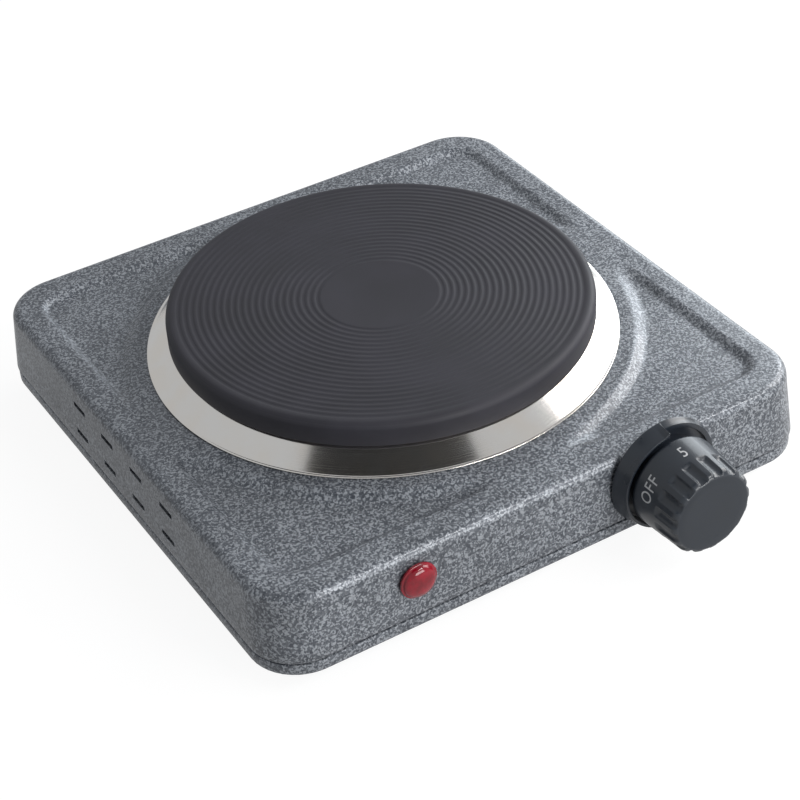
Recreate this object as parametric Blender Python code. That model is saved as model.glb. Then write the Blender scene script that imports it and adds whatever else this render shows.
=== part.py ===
"""Single hot plate burner: a cast-iron plate on a steel housing, with a thermostat knob, lamp and wiring.

Every size is in millimetres until it reaches Blender. Heights are measured from the underside of the base
pan and depths from the middle of the housing, -Y at the front. place() moves them to the part's own frame,
whose origin lies on the table under the middle of the whole object.
"""

import math

import bmesh
import bpy
from mathutils import Matrix, Vector

MM = 0.001
GAP = 0.3  # clearance between pieces that touch

# Housing
WIDTH = 259.0
DEPTH = 262.0
SHELL_TOP = 37.7
SHEET = 1.0
DRAFT = 1.2  # how far each wall leans in by its top
LOW_CORNER = 19.0
TOP_CORNER = 24.0
EDGE_FILLET = 4.5
CORNER_STEPS = 6
PAN_LIP = 5.5
PAN_INSET = 0.8
PAN_SPIGOT = 3.2  # how far the pan reaches up inside the shell
SHELL_LOW = PAN_LIP + GAP

# Side vents
VENT_LENGTH = 13.0
VENT_HEIGHT = 3.2
VENT_PITCH = 27.5
VENT_ROWS = (14.0, 28.0)
VENTS_PER_ROW = 4

# Plate and trim ring
PLATE_Y = 2.0
PLATE_RADIUS = 92.5
PLATE_RIM = SHELL_TOP + 8.7  # underside of the plate's overhanging rim
PLATE_TOP = PLATE_RIM + 10.9
PLATE_FILLET = 3.0
PLATE_OVERHANG = 7.1
PLATE_SKIRT = PLATE_RADIUS - PLATE_OVERHANG
PLATE_SKIRT_DEPTH = 8.1
PLATE_WALL = 4.9
PLATE_CEILING = PLATE_RIM + 3.4  # roof of the hollow that holds the element
COVER_TOP = PLATE_RIM - PLATE_SKIRT_DEPTH
BOSS_RADIUS = 16.5
RING_RADIUS = PLATE_RADIUS + 10.0
RING_SHEET = 0.5
RING_LIP = 1.0
RING_SEAT = 4.1  # width of the flat part under the plate
RING_INNER = PLATE_SKIRT + 1.2
COLLAR_RADIUS = RING_INNER + 0.4
COLLAR_SHEET = 1.2

# Sunk corner fields of the top
FIELD_DEPTH = 3.0
FIELD_RAMP = 1.8  # half the width of the sloping wall
FIELD_X = WIDTH / 2 - 15.0
FIELD_Y = DEPTH / 2 - 17.6
FIELD_ARC = RING_RADIUS + 9.0
FIELD_TIP = 25.0
FIELD_CORNER = 10.0

# Element
COIL_OUTER = PLATE_SKIRT - PLATE_WALL - 18.5
COIL_INNER = 38.0
COIL_TUBE = 6.0
COIL_END = 8.0  # degrees between the coil's gap and each of its ends
ELEMENT_ANGLE = -52.0  # degrees: where the coil's gap and the terminal lie
COVER_SHEET = 0.6
PIN_RADIUS = 1.2
PIN_LOW = SHELL_TOP - 12.7

# Clamp
STUD_RADIUS = 4.0
BAR_WIDTH = 24.0
BAR_SHEET = 2.0
BAR_LOW = SHELL_TOP - 6.7
BAR_END = COLLAR_RADIUS + 26.0
BAR_PAD = 13.0
BAR_JOG = 8.0
SHIELD_SHEET = 0.6
SHIELD_RADIUS = PLATE_RADIUS + 1.5
SHIELD_FLOOR = BAR_LOW - 12.0
WASHER_RADIUS = 9.0
WASHER_SHEET = 0.9
NUT_FLATS = 13.0
NUT_HEIGHT = 6.5

# Knob, bezel and thermostat, on one axis through the front wall
KNOB_X = 50.0
KNOB_Z = 24.3
KNOB_BACK = 8.7  # distances forward from the foot of the front wall
KNOB_FRONT = 34.4
KNOB_RADIUS = 20.4
KNOB_NOSE = KNOB_RADIUS - 1.1
KNOB_CAP = KNOB_NOSE - 2.4
KNOB_SHOULDER = 3.4
KNOB_WALL = 2.6
GRIP_GROOVES = 16
GRIP_START = 22.0
GRIP_RADIUS = 2.3
GRIP_DEPTH = 1.3
BEZEL_RADIUS = KNOB_RADIUS + 4.1
BEZEL_RIM = KNOB_RADIUS + 2.5
BEZEL_BORE = KNOB_RADIUS + 1.2
BEZEL_LOW = 4.0
BEZEL_HIGH = 8.2
BEZEL_BACK = 1.5
POINTER_ANGLE = 94.0
SHAFT_RADIUS = 3.0
SHAFT_REACH = 26.0
SHAFT_FLAT = 0.8
HUB_RADIUS = SHAFT_RADIUS + 3.0
BUSH_RADIUS = SHAFT_RADIUS + 1.7
BUSH_FLANGE = BUSH_RADIUS + 2.6
THERMOSTAT_NUT_FLATS = 2 * BUSH_RADIUS + 4.6
FRAME_WIDTH = 30.0
FRAME_LOW = KNOB_Z - BUSH_FLANGE - 2.0
FRAME_HIGH = KNOB_Z + 8.3
FRAME_SHEET = 1.2
FRAME_LENGTH = 30.0
CAM_RADIUS = SHAFT_RADIUS + 2.0
CAM_BACK = 22.8
BLADE_HEIGHT = 8.0
ARM_SHEET = 0.5
BIMETAL_SHEET = 0.8
BLADE_SPACING = 3.7
STACK_X = CAM_RADIUS + 3.5  # from the shaft's axis to the stack's near side
STACK_WIDTH = 6.5
BLADE_REACH = 5.0
BLADE_TAB = 5.0
STACK_FRONT = 17.5
STACK_BACK = 31.0

# Lamp
LAMP_X = -65.5
LAMP_Z = 24.2
LENS_FLANGE = 8.2
LENS_DOME = 7.2
LENS_PROUD = 4.2
LENS_TUBE = 6.0
LENS_WALL = 0.8
LENS_LENGTH = 10.0
BULB_RADIUS = 2.2

# Rear inlet and mains terminal
INLET_X = 70.0
INLET_Z = 18.0
INLET_BORE = 4.2
INLET_NECK = 6.2
INLET_FLANGE = 8.6
INLET_PROUD = 2.2
TERMINAL_SIZE = (32.0, 15.0, 12.0)
TERMINAL_Y = 104.0
TERMINAL_POLES = 3
TERMINAL_PITCH = 10.0
TERMINAL_BORE = 1.5
TERMINAL_BORE_Z = 4.5
TERMINAL_SCREW_X = INLET_X - TERMINAL_PITCH / 2
EARTH_X = 38.0
EARTH_Y = 112.0

# Feet and the brackets that the foot screws bite in
FOOT_HEIGHT = 10.0
FOOT_RADIUS = 10.0
FOOT_INSET_X = 31.5
FOOT_INSET_Y = 32.2
SCREW_SHANK = 1.9
SCREW_HEAD = 3.6
BRACKET_LENGTH = 37.0
BRACKET_WIDTH = 20.0
BRACKET_SHEET = 1.5
BRACKET_TOP = 24.0

LEAD_DIAMETER = 2.2
LAMP_LEAD_DIAMETER = 1.6

FRONT = -DEPTH / 2
BACK = DEPTH / 2
MIDDLE_Y = (KNOB_FRONT - INLET_PROUD) / 2  # puts the origin under the middle of the whole depth


def place(x, y, z):
    """A point of the housing's frame, in millimetres, as metres in the part's frame."""
    return Vector((x * MM, (y + MIDDLE_Y) * MM, (z + FOOT_HEIGHT) * MM))


# Materials

def finish(name, colour, roughness, metallic=0.0, alpha=1.0):
    material = bpy.data.materials.new(name)
    material.use_nodes = True
    shader = material.node_tree.nodes["Principled BSDF"]
    shader.inputs["Base Color"].default_value = (*colour, 1.0)
    shader.inputs["Roughness"].default_value = roughness
    shader.inputs["Metallic"].default_value = metallic
    shader.inputs["Alpha"].default_value = alpha
    return material


def make_finishes():
    return {
        "hammertone": finish("hammertone", (0.13, 0.145, 0.16), 0.42, 0.3),
        "cast_iron": finish("cast_iron", (0.045, 0.046, 0.05), 0.6, 0.2),
        "stainless": finish("stainless", (0.62, 0.6, 0.57), 0.16, 1.0),
        "zinc_steel": finish("zinc_steel", (0.55, 0.56, 0.57), 0.35, 1.0),
        "black_gloss": finish("black_gloss", (0.012, 0.012, 0.014), 0.25),
        "red_lens": finish("red_lens", (0.45, 0.01, 0.02), 0.12, 0.0, 0.9),
        "magnesia": finish("magnesia", (0.6, 0.58, 0.54), 0.9),
        "ceramic": finish("ceramic", (0.78, 0.75, 0.68), 0.5),
        "resistance_wire": finish("resistance_wire", (0.3, 0.26, 0.22), 0.5, 0.9),
        "brass": finish("brass", (0.68, 0.5, 0.22), 0.3, 1.0),
        "rubber": finish("rubber", (0.02, 0.02, 0.02), 0.85),
        "white_plastic": finish("white_plastic", (0.75, 0.74, 0.7), 0.5),
        "glass": finish("glass", (0.85, 0.8, 0.75), 0.05, 0.0, 0.4),
        "brown_sleeve": finish("brown_sleeve", (0.16, 0.06, 0.03), 0.6),
        "blue_sleeve": finish("blue_sleeve", (0.03, 0.1, 0.4), 0.6),
        "green_sleeve": finish("green_sleeve", (0.1, 0.4, 0.06), 0.6),
        "black_sleeve": finish("black_sleeve", (0.03, 0.03, 0.03), 0.6),
    }


# Shapes

def make_object(name, bm, material, origin=(0, 0, 0), forward=False, smooth=True):
    """An object from a bmesh in millimetres. With forward set, its local Z points out of the front, to -Y."""
    bmesh.ops.remove_doubles(bm, verts=bm.verts, dist=1e-5)
    bmesh.ops.recalc_face_normals(bm, faces=bm.faces)
    bmesh.ops.scale(bm, vec=(MM, MM, MM), verts=bm.verts)
    mesh = bpy.data.meshes.new(name)
    bm.to_mesh(mesh)
    bm.free()
    thing = bpy.data.objects.new(name, mesh)
    bpy.context.scene.collection.objects.link(thing)
    thing.location = place(*origin)
    if forward:
        thing.rotation_euler = (math.pi / 2, 0, 0)
    if material:
        mesh.materials.append(material)
    if smooth:
        mesh.shade_smooth()
        mesh.set_sharp_from_angle(angle=math.radians(35))
    return thing


def hide_cutter(thing):
    thing.hide_render = True
    thing.display_type = "WIRE"
    return thing


def combine(target, other, operation="DIFFERENCE"):
    """Adds a Boolean of the other object, which becomes a hidden helper."""
    hide_cutter(other)
    modifier = target.modifiers.new(f"{operation.lower()}_{other.name}", "BOOLEAN")
    modifier.operation = operation
    modifier.object = other
    modifier.solver = "EXACT"
    return target


def loft(name, rings, material, **options):
    """A closed body through rings of equally many points, with flat ends."""
    bm = bmesh.new()
    loops = [[bm.verts.new(point) for point in ring] for ring in rings]
    for low, high in zip(loops, loops[1:]):
        for i in range(len(low)):
            j = (i + 1) % len(low)
            bm.faces.new((low[i], low[j], high[j], high[i]))
    bm.faces.new(loops[0])
    bm.faces.new(loops[-1])
    return make_object(name, bm, material, **options)


def prism(name, outline, low, high, material, plane="xy", **options):
    """An outline of two coordinates, extruded along the third from low to high."""
    def point(u, v, w):
        return {"xy": (u, v, w), "xz": (u, w, v), "yz": (w, u, v)}[plane]

    rings = [[point(u, v, w) for u, v in outline] for w in (low, high)]
    return loft(name, rings, material, **options)


def box(name, low, high, material, **options):
    outline = [(low[0], low[1]), (high[0], low[1]), (high[0], high[1]), (low[0], high[1])]
    return prism(name, outline, low[2], high[2], material, smooth=False, **options)


def turned(name, profile, steps, material, start=0.0, sweep=360.0, **options):
    """A turned body about local Z from points (radius, height). A part sweep gives a closed sector."""
    bm = bmesh.new()
    turn = Matrix.Rotation(math.radians(start), 3, "Z")
    points = [bm.verts.new(turn @ Vector((radius, 0, height))) for radius, height in profile]
    whole = sweep >= 360.0
    on_axis = profile[0][0] == 0 and profile[-1][0] == 0
    if whole:
        edges = [bm.edges.new(pair) for pair in zip(points, points[1:])]
        if not on_axis:
            edges.append(bm.edges.new((points[-1], points[0])))
        geometry = points + edges
    else:
        geometry = [bm.faces.new(points)]
    bmesh.ops.spin(bm, geom=geometry, axis=(0, 0, 1), cent=(0, 0, 0), dvec=(0, 0, 0),
                   angle=math.radians(sweep), steps=steps, use_merge=whole, use_duplicate=False)
    return make_object(name, bm, material, **options)


def rod(name, radius, low, high, steps, material, **options):
    profile = [(0, high), (radius, high), (radius, low), (0, low)]
    return turned(name, profile, steps, material, **options)


def drill(target, radius, low, high, at, forward=False, steps=20):
    """Cuts a round hole. low and high run along Z, or forward from `at`."""
    hole = rod(f"{target.name}_hole_{len(target.modifiers)}", radius, low, high, steps, None,
               origin=at, forward=forward)
    return combine(target, hole)


def tube(name, points, diameter, material):
    """A round lead through points, on a smooth curve through them."""
    places = [Vector(point) for point in points]
    ends = [2 * places[0] - places[1]] + places + [2 * places[-1] - places[-2]]
    path = []
    for before, a, b, after in zip(ends, ends[1:], ends[2:], ends[3:]):
        count = max(2, round((b - a).length / (2.6 * diameter)))
        for step in range(count):
            t = step / count
            path.append(0.5 * (2 * a + (b - before) * t + (2 * before - 5 * a + 4 * b - after) * t ** 2
                               + (3 * a - before - 3 * b + after) * t ** 3))
    path.append(places[-1])
    return poly_tube(name, path, diameter, material)


def poly_tube(name, path, diameter, material):
    curve = bpy.data.curves.new(name, "CURVE")
    curve.dimensions = "3D"
    curve.bevel_depth = diameter / 2 * MM
    curve.bevel_resolution = 2
    curve.use_fill_caps = True
    spline = curve.splines.new("POLY")
    spline.points.add(len(path) - 1)
    for node, point in zip(spline.points, path):
        node.co = (*place(*point), 1)
    curve.materials.append(material)
    thing = bpy.data.objects.new(name, curve)
    bpy.context.scene.collection.objects.link(thing)
    return thing


def rounded_rectangle(half_x, half_y, radius, z):
    points = []
    for centre_x, centre_y, start in ((1, 1, 0), (-1, 1, 90), (-1, -1, 180), (1, -1, 270)):
        for step in range(CORNER_STEPS + 1):
            angle = math.radians(start + 90 * step / CORNER_STEPS)
            points.append((centre_x * (half_x - radius) + radius * math.cos(angle),
                           centre_y * (half_y - radius) + radius * math.sin(angle), z))
    return points


def regular_outline(sides, across_flats):
    radius = across_flats / 2 / math.cos(math.pi / sides)
    return [(radius * math.cos(2 * math.pi * i / sides), radius * math.sin(2 * math.pi * i / sides))
            for i in range(sides)]


# Housing

def wall_lean(z):
    """How far the wall leans in at a height."""
    return DRAFT * (z - SHELL_LOW) / (SHELL_TOP - EDGE_FILLET - SHELL_LOW)


def housing_block(name, inset, low, material=None):
    """The housing's outer form, shrunk on all sides by inset."""
    fillet = EDGE_FILLET - inset
    shoulder = SHELL_TOP - EDGE_FILLET
    corner = LOW_CORNER - inset
    foot = inset + wall_lean(low)
    rings = [rounded_rectangle(WIDTH / 2 - foot, DEPTH / 2 - foot, corner, low)]
    for step in range(4):
        angle = math.radians(30 * step)
        lean = DRAFT + inset + fillet * (1 - math.cos(angle))
        radius = TOP_CORNER - inset - fillet * (1 - math.cos(angle))
        rings.append(rounded_rectangle(WIDTH / 2 - lean, DEPTH / 2 - lean, radius,
                                       shoulder + fillet * math.sin(angle)))
    return loft(name, rings, material)


def field_outline(side_x, side_y, grow, z):
    """A sunk corner field: two straight sides, a round corner, blunt tips and an arc round the plate."""
    edge_x, edge_y, tip = FIELD_X + grow, FIELD_Y + grow, FIELD_TIP - grow
    arc = FIELD_ARC - grow
    corner = FIELD_CORNER + grow
    points = [(edge_x * side_x, tip * side_y)]
    for step in range(5):
        angle = math.radians(90 * step / 4)
        points.append(((edge_x - corner + corner * math.cos(angle)) * side_x,
                       (edge_y - corner + corner * math.sin(angle)) * side_y))
    points.append((tip * side_x, edge_y * side_y))
    first = math.asin(tip / arc)
    last = math.asin((tip * side_y - PLATE_Y) * side_y / arc)
    for step in range(13):
        angle = math.pi / 2 - first + (last - math.pi / 2 + first) * step / 12
        points.append((arc * math.cos(angle) * side_x, arc * math.sin(angle) * side_y + PLATE_Y))
    if side_x * side_y < 0:
        points.reverse()
    return [(x, y, z) for x, y in points]


def corner_field(name, side_x, side_y, sheet):
    """The body that a field takes out of the top, or with sheet above 0 its wrapping on the inside."""
    low = SHELL_TOP - FIELD_DEPTH - sheet
    grow = 0.6 * sheet
    rings = [field_outline(side_x, side_y, grow - FIELD_RAMP, low),
             field_outline(side_x, side_y, grow + FIELD_RAMP, SHELL_TOP - sheet),
             field_outline(side_x, side_y, grow + FIELD_RAMP, SHELL_TOP + 2)]
    return loft(name, rings, None)


def make_housing(finishes):
    shell = housing_block("housing_shell", 0.0, SHELL_LOW, finishes["hammertone"])
    inside = housing_block("housing_inside", SHEET, SHELL_LOW - 4)
    for index, (side_x, side_y) in enumerate(((1, 1), (-1, 1), (-1, -1), (1, -1))):
        combine(shell, corner_field(f"field_outside_{index}", side_x, side_y, 0.0))
        combine(inside, corner_field(f"field_inside_{index}", side_x, side_y, SHEET))
    combine(shell, inside)
    seat_top = PLATE_RIM - 2 * GAP - RING_SHEET
    collar = turned("plate_collar", [(COLLAR_RADIUS, seat_top), (COLLAR_RADIUS + COLLAR_SHEET, seat_top),
                                     (COLLAR_RADIUS + COLLAR_SHEET, SHELL_TOP - 0.8 * SHEET),
                                     (COLLAR_RADIUS, SHELL_TOP - 0.8 * SHEET)], 64, None,
                    origin=(0, PLATE_Y, 0))
    drill(shell, COLLAR_RADIUS + 0.5 * COLLAR_SHEET, SHELL_TOP - 5, SHELL_TOP + 5, (0, PLATE_Y, 0), steps=64)
    combine(shell, collar, "UNION")
    drill(shell, BUSH_RADIUS + GAP, -6, 4, (KNOB_X, FRONT, KNOB_Z), forward=True)
    drill(shell, LENS_TUBE + GAP, -6, 4, (LAMP_X, FRONT, LAMP_Z), forward=True)
    drill(shell, INLET_NECK + GAP, -4, 6, (INLET_X, BACK, INLET_Z), forward=True)
    for index, height in enumerate(VENT_ROWS):
        for slot in range(VENTS_PER_ROW):
            along = (slot - (VENTS_PER_ROW - 1) / 2) * VENT_PITCH
            combine(shell, box(f"vent_{index}_{slot}",
                               (-WIDTH, along - VENT_LENGTH / 2, height - VENT_HEIGHT / 2),
                               (WIDTH, along + VENT_LENGTH / 2, height + VENT_HEIGHT / 2), None))
    return shell


def foot_places():
    x, y = WIDTH / 2 - FOOT_INSET_X, DEPTH / 2 - FOOT_INSET_Y
    for side_x, across in ((-1, "left"), (1, "right")):
        for side_y, along in ((-1, "front"), (1, "rear")):
            yield f"{along}_{across}", side_x * x, side_y * y


def make_base_pan(finishes):
    def ring(inset, z):
        return rounded_rectangle(WIDTH / 2 - inset, DEPTH / 2 - inset, LOW_CORNER + 1 - inset, z)

    spigot = SHEET + GAP + wall_lean(PAN_LIP + PAN_SPIGOT)
    top = PAN_LIP + PAN_SPIGOT
    pan = loft("base_pan", [ring(PAN_INSET + 1.0, 0), ring(PAN_INSET, 1.0), ring(PAN_INSET, PAN_LIP),
                            ring(spigot, PAN_LIP), ring(spigot, top)], finishes["hammertone"])
    hollow = loft("pan_hollow", [ring(PAN_INSET + SHEET, SHEET), ring(PAN_INSET + SHEET, PAN_LIP - SHEET),
                                 ring(spigot + SHEET, PAN_LIP - 0.4), ring(spigot + SHEET, top + 2)], None)
    combine(pan, hollow)
    for name, x, y in foot_places():
        drill(pan, SCREW_SHANK + GAP, -2, SHEET + 2, (x, y, 0), steps=12)
    drill(pan, SCREW_SHANK + GAP, -2, SHEET + 2, (EARTH_X, EARTH_Y, 0), steps=12)
    drill(pan, SCREW_SHANK + GAP, -2, SHEET + 2, (TERMINAL_SCREW_X, TERMINAL_Y, 0), steps=12)
    for row in (-1, 0, 1):
        for slot in range(5):
            x = (slot - 2) * 18.0
            combine(pan, box(f"pan_slot_{row}_{slot}", (x - 2, row * 40 - 13, -2),
                             (x + 2, row * 40 + 13, SHEET + 2), None))
    return pan


def make_feet(finishes):
    head_low = -FOOT_HEIGHT + 2.4
    shoulder = -5.0
    bracket_low = PAN_LIP + PAN_SPIGOT + GAP
    hole, well = SCREW_SHANK + GAP, SCREW_HEAD + 0.8
    for name, x, y in foot_places():
        side = math.copysign(1, x)
        turned(f"foot_{name}", [(hole, -GAP), (FOOT_RADIUS, -GAP), (FOOT_RADIUS, -FOOT_HEIGHT + 1.2),
                                (FOOT_RADIUS - 1.2, -FOOT_HEIGHT), (well, -FOOT_HEIGHT), (well, shoulder),
                                (hole, shoulder)], 24, finishes["rubber"], origin=(x, y, 0))
        turned(f"foot_screw_{name}", [(0, bracket_low + 5), (SCREW_SHANK, bracket_low + 5),
                                      (SCREW_SHANK, shoulder - GAP), (SCREW_HEAD, shoulder - GAP),
                                      (SCREW_HEAD, head_low + 0.8), (SCREW_HEAD - 0.8, head_low),
                                      (0, head_low)], 12, finishes["zinc_steel"], origin=(x, y, 0))
        wall = WIDTH / 2 - SHEET - GAP - wall_lean(BRACKET_TOP)
        inner = wall - BRACKET_LENGTH
        outline = [(inner, bracket_low), (wall, bracket_low), (wall, BRACKET_TOP),
                   (wall - BRACKET_SHEET, BRACKET_TOP), (wall - BRACKET_SHEET, bracket_low + BRACKET_SHEET),
                   (inner, bracket_low + BRACKET_SHEET)]
        outline = [(side * u, v) for u, v in outline]
        bracket = prism(f"corner_bracket_{name}", outline, y - BRACKET_WIDTH / 2, y + BRACKET_WIDTH / 2,
                        finishes["zinc_steel"], plane="xz", smooth=False)
        drill(bracket, hole, bracket_low - 2, bracket_low + 4, (x, y, 0), steps=12)


# Plate, ring and element

def make_plate(finishes):
    profile = [(0, PLATE_TOP)]
    for step in range(4):
        angle = math.radians(30 * step)
        profile.append((PLATE_RADIUS - PLATE_FILLET + PLATE_FILLET * math.sin(angle),
                        PLATE_TOP - PLATE_FILLET + PLATE_FILLET * math.cos(angle)))
    profile += [(PLATE_RADIUS, PLATE_RIM + 0.5), (PLATE_RADIUS - 0.5, PLATE_RIM), (PLATE_SKIRT, PLATE_RIM),
                (PLATE_SKIRT, COVER_TOP), (PLATE_SKIRT - PLATE_WALL, COVER_TOP),
                (PLATE_SKIRT - PLATE_WALL, PLATE_CEILING), (BOSS_RADIUS, PLATE_CEILING),
                (BOSS_RADIUS, COVER_TOP), (STUD_RADIUS + GAP, COVER_TOP), (STUD_RADIUS + GAP, PLATE_CEILING),
                (0, PLATE_CEILING)]
    turned("hot_plate", profile, 64, finishes["cast_iron"], origin=(0, PLATE_Y, 0))


def make_ring(finishes):
    seat = PLATE_RIM - GAP
    low = SHELL_TOP + GAP
    top_end = RING_INNER + RING_SEAT
    turned("trim_ring", [(RING_INNER, seat), (top_end, seat), (RING_RADIUS - RING_LIP, low + RING_SHEET),
                         (RING_RADIUS, low + RING_SHEET), (RING_RADIUS, low),
                         (RING_RADIUS - RING_LIP - 0.35, low), (top_end - 0.35, seat - RING_SHEET),
                         (RING_INNER, seat - RING_SHEET)], 64, finishes["stainless"], origin=(0, PLATE_Y, 0))


def polar(radius, degrees, z):
    """A point about the plate's middle."""
    angle = math.radians(degrees)
    return (radius * math.cos(angle), PLATE_Y + radius * math.sin(angle), z)


def make_element(finishes):
    top = PLATE_CEILING - GAP
    groove = COIL_TUBE / 2 + GAP
    groove_low = top - COIL_TUBE - 2 * GAP
    coil_z = top - groove
    profile = [(BOSS_RADIUS + GAP, top)]
    for radius in (COIL_INNER, COIL_OUTER):
        profile += [(radius - groove, top), (radius - groove, groove_low), (radius + groove, groove_low),
                    (radius + groove, top)]
    edge = PLATE_SKIRT - PLATE_WALL - GAP
    profile += [(edge, top), (edge, COVER_TOP), (BOSS_RADIUS + GAP, COVER_TOP)]
    insulation = turned("element_insulation", profile, 48, finishes["magnesia"], origin=(0, PLATE_Y, 0))
    first = ELEMENT_ANGLE + COIL_END
    last = ELEMENT_ANGLE + 360 - COIL_END
    link = box("coil_link_slot", (COIL_INNER - groove, -groove - 1.2, groove_low),
               (COIL_OUTER + groove, groove + 1.2, top + 2), None, origin=(0, PLATE_Y, 0))
    link.rotation_euler = (0, 0, math.radians(last + 0.8))
    combine(insulation, link)

    path = []
    for step in range(37):
        path.append(polar(COIL_OUTER, first + (last - first) * step / 36, coil_z))
    for share in (0.06, 0.5, 0.94):
        path.append(polar(COIL_OUTER + (COIL_INNER - COIL_OUTER) * share, last + 0.8, coil_z))
    for step in range(29):
        path.append(polar(COIL_INNER, last + (first - last) * step / 28, coil_z))
    poly_tube("heating_coil", path, COIL_TUBE, finishes["resistance_wire"])

    cover_high = COVER_TOP - GAP
    cover_low = cover_high - COVER_SHEET
    cover = turned("plate_cover", [(STUD_RADIUS + GAP, cover_high), (PLATE_SKIRT - 0.5, cover_high),
                                   (PLATE_SKIRT - 0.5, cover_low), (STUD_RADIUS + GAP, cover_low)], 48,
                   finishes["zinc_steel"], origin=(0, PLATE_Y, 0))
    block_top = cover_low - GAP
    middle = polar((COIL_INNER + COIL_OUTER) / 2, first, 0)
    half = (COIL_OUTER - COIL_INNER) / 2 + 6
    block = box("element_terminal", (-half, -6.5, block_top - 7), (half, 6.5, block_top), finishes["ceramic"],
                origin=middle)
    block.rotation_euler = (0, 0, math.radians(first))
    for mark, radius in (("outer", COIL_OUTER), ("inner", COIL_INNER)):
        spot = polar(radius, first, 0)
        for target in (insulation, cover, block):
            drill(target, PIN_RADIUS + GAP, PIN_LOW - 2, groove_low + 1, spot, steps=12)
        rod(f"element_pin_{mark}", PIN_RADIUS, PIN_LOW, groove_low, 12, finishes["zinc_steel"], origin=spot)


def make_clamp(finishes):
    middle = (0, PLATE_Y, 0)
    rod("plate_stud", STUD_RADIUS, BAR_LOW - 10.5, PLATE_CEILING - GAP, 16, finishes["zinc_steel"],
        origin=middle)

    pad_top = SHELL_TOP - SHEET - GAP
    right = [(BAR_END - BAR_PAD - BAR_JOG, BAR_LOW), (BAR_END - BAR_PAD, pad_top - BAR_SHEET),
             (BAR_END, pad_top - BAR_SHEET), (BAR_END, pad_top), (BAR_END - BAR_PAD, pad_top),
             (BAR_END - BAR_PAD - BAR_JOG, BAR_LOW + BAR_SHEET)]
    outline = right + [(-u, v) for u, v in reversed(right)]
    bar = prism("clamp_bar", outline, -BAR_WIDTH / 2, BAR_WIDTH / 2, finishes["zinc_steel"], plane="xz",
                smooth=False, origin=middle)
    drill(bar, STUD_RADIUS + GAP, BAR_LOW - 2, BAR_LOW + 5, middle)

    hub_top = BAR_LOW - GAP
    bore = STUD_RADIUS + GAP
    turned("heat_shield", [(bore, hub_top), (15, hub_top), (30, SHIELD_FLOOR + SHIELD_SHEET),
                           (SHIELD_RADIUS - 2, SHIELD_FLOOR + SHIELD_SHEET),
                           (SHIELD_RADIUS, SHIELD_FLOOR - 1.6), (SHIELD_RADIUS - 0.7, SHIELD_FLOOR - 1.8),
                           (SHIELD_RADIUS - 2.4, SHIELD_FLOOR),
                           (29.6, SHIELD_FLOOR), (14.6, hub_top - SHIELD_SHEET),
                           (bore, hub_top - SHIELD_SHEET)], 48, finishes["zinc_steel"], origin=middle)
    washer_top = hub_top - SHIELD_SHEET - GAP
    washer_low = washer_top - WASHER_SHEET
    turned("stud_washer", [(bore, washer_top), (WASHER_RADIUS, washer_top), (WASHER_RADIUS, washer_low),
                           (bore, washer_low)], 20, finishes["zinc_steel"], origin=middle)
    nut_top = washer_low - GAP
    nut = prism("stud_nut", regular_outline(6, NUT_FLATS), nut_top - NUT_HEIGHT, nut_top,
                finishes["zinc_steel"], smooth=False, origin=middle)
    drill(nut, bore, nut_top - NUT_HEIGHT - 2, nut_top + 2, middle, steps=16)


# Knob and thermostat

def make_knob(finishes):
    """The knob and its shaft, both with their origin on the turning axis."""
    axis = (KNOB_X, FRONT, KNOB_Z)
    cavity = KNOB_RADIUS - KNOB_WALL
    roof = KNOB_FRONT - 3.5
    nose = KNOB_FRONT - KNOB_SHOULDER
    bore = SHAFT_RADIUS + GAP
    profile = [(0, KNOB_FRONT), (KNOB_CAP, KNOB_FRONT), (KNOB_NOSE - 0.5, nose + 1.4), (KNOB_NOSE, nose),
               (KNOB_RADIUS, KNOB_BACK + 0.5), (KNOB_RADIUS - 0.5, KNOB_BACK), (cavity, KNOB_BACK),
               (cavity - 1, roof), (HUB_RADIUS, roof), (HUB_RADIUS, KNOB_BACK + 1), (bore, KNOB_BACK + 1),
               (bore, SHAFT_REACH + GAP), (0, SHAFT_REACH + GAP)]
    knob = turned("knob", profile, 48, finishes["black_gloss"], origin=axis, forward=True)
    for index in range(GRIP_GROOVES):
        angle = 2 * math.pi * (index + 0.25) / GRIP_GROOVES
        reach = KNOB_NOSE + GRIP_RADIUS - GRIP_DEPTH
        groove = turned(f"grip_{index}", [(0, KNOB_FRONT + 2), (GRIP_RADIUS, KNOB_FRONT + 2),
                                          (GRIP_RADIUS, GRIP_START + GRIP_RADIUS),
                                          (GRIP_RADIUS * 0.7, GRIP_START + 0.7), (0, GRIP_START)], 8, None,
                        origin=(KNOB_X + reach * math.cos(angle), FRONT, KNOB_Z + reach * math.sin(angle)),
                        forward=True)
        combine(knob, groove)

    shaft = turned("thermostat_shaft", [(0, SHAFT_REACH), (SHAFT_RADIUS, SHAFT_REACH),
                                        (SHAFT_RADIUS, -CAM_BACK + 2), (CAM_RADIUS, -CAM_BACK + 2),
                                        (CAM_RADIUS, -CAM_BACK), (0, -CAM_BACK)], 20, finishes["brass"],
                   origin=axis, forward=True)
    flat = SHAFT_RADIUS - SHAFT_FLAT
    combine(shaft, box("shaft_flat_cutter", (-5, flat, KNOB_BACK), (5, flat + 5, SHAFT_REACH + 2), None,
                       origin=axis, forward=True))
    key = box("knob_key", (-2.2, flat + GAP, KNOB_BACK + 1), (2.2, HUB_RADIUS - 1, SHAFT_REACH + 1), None,
              origin=axis, forward=True)
    combine(knob, key, "UNION")


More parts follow.
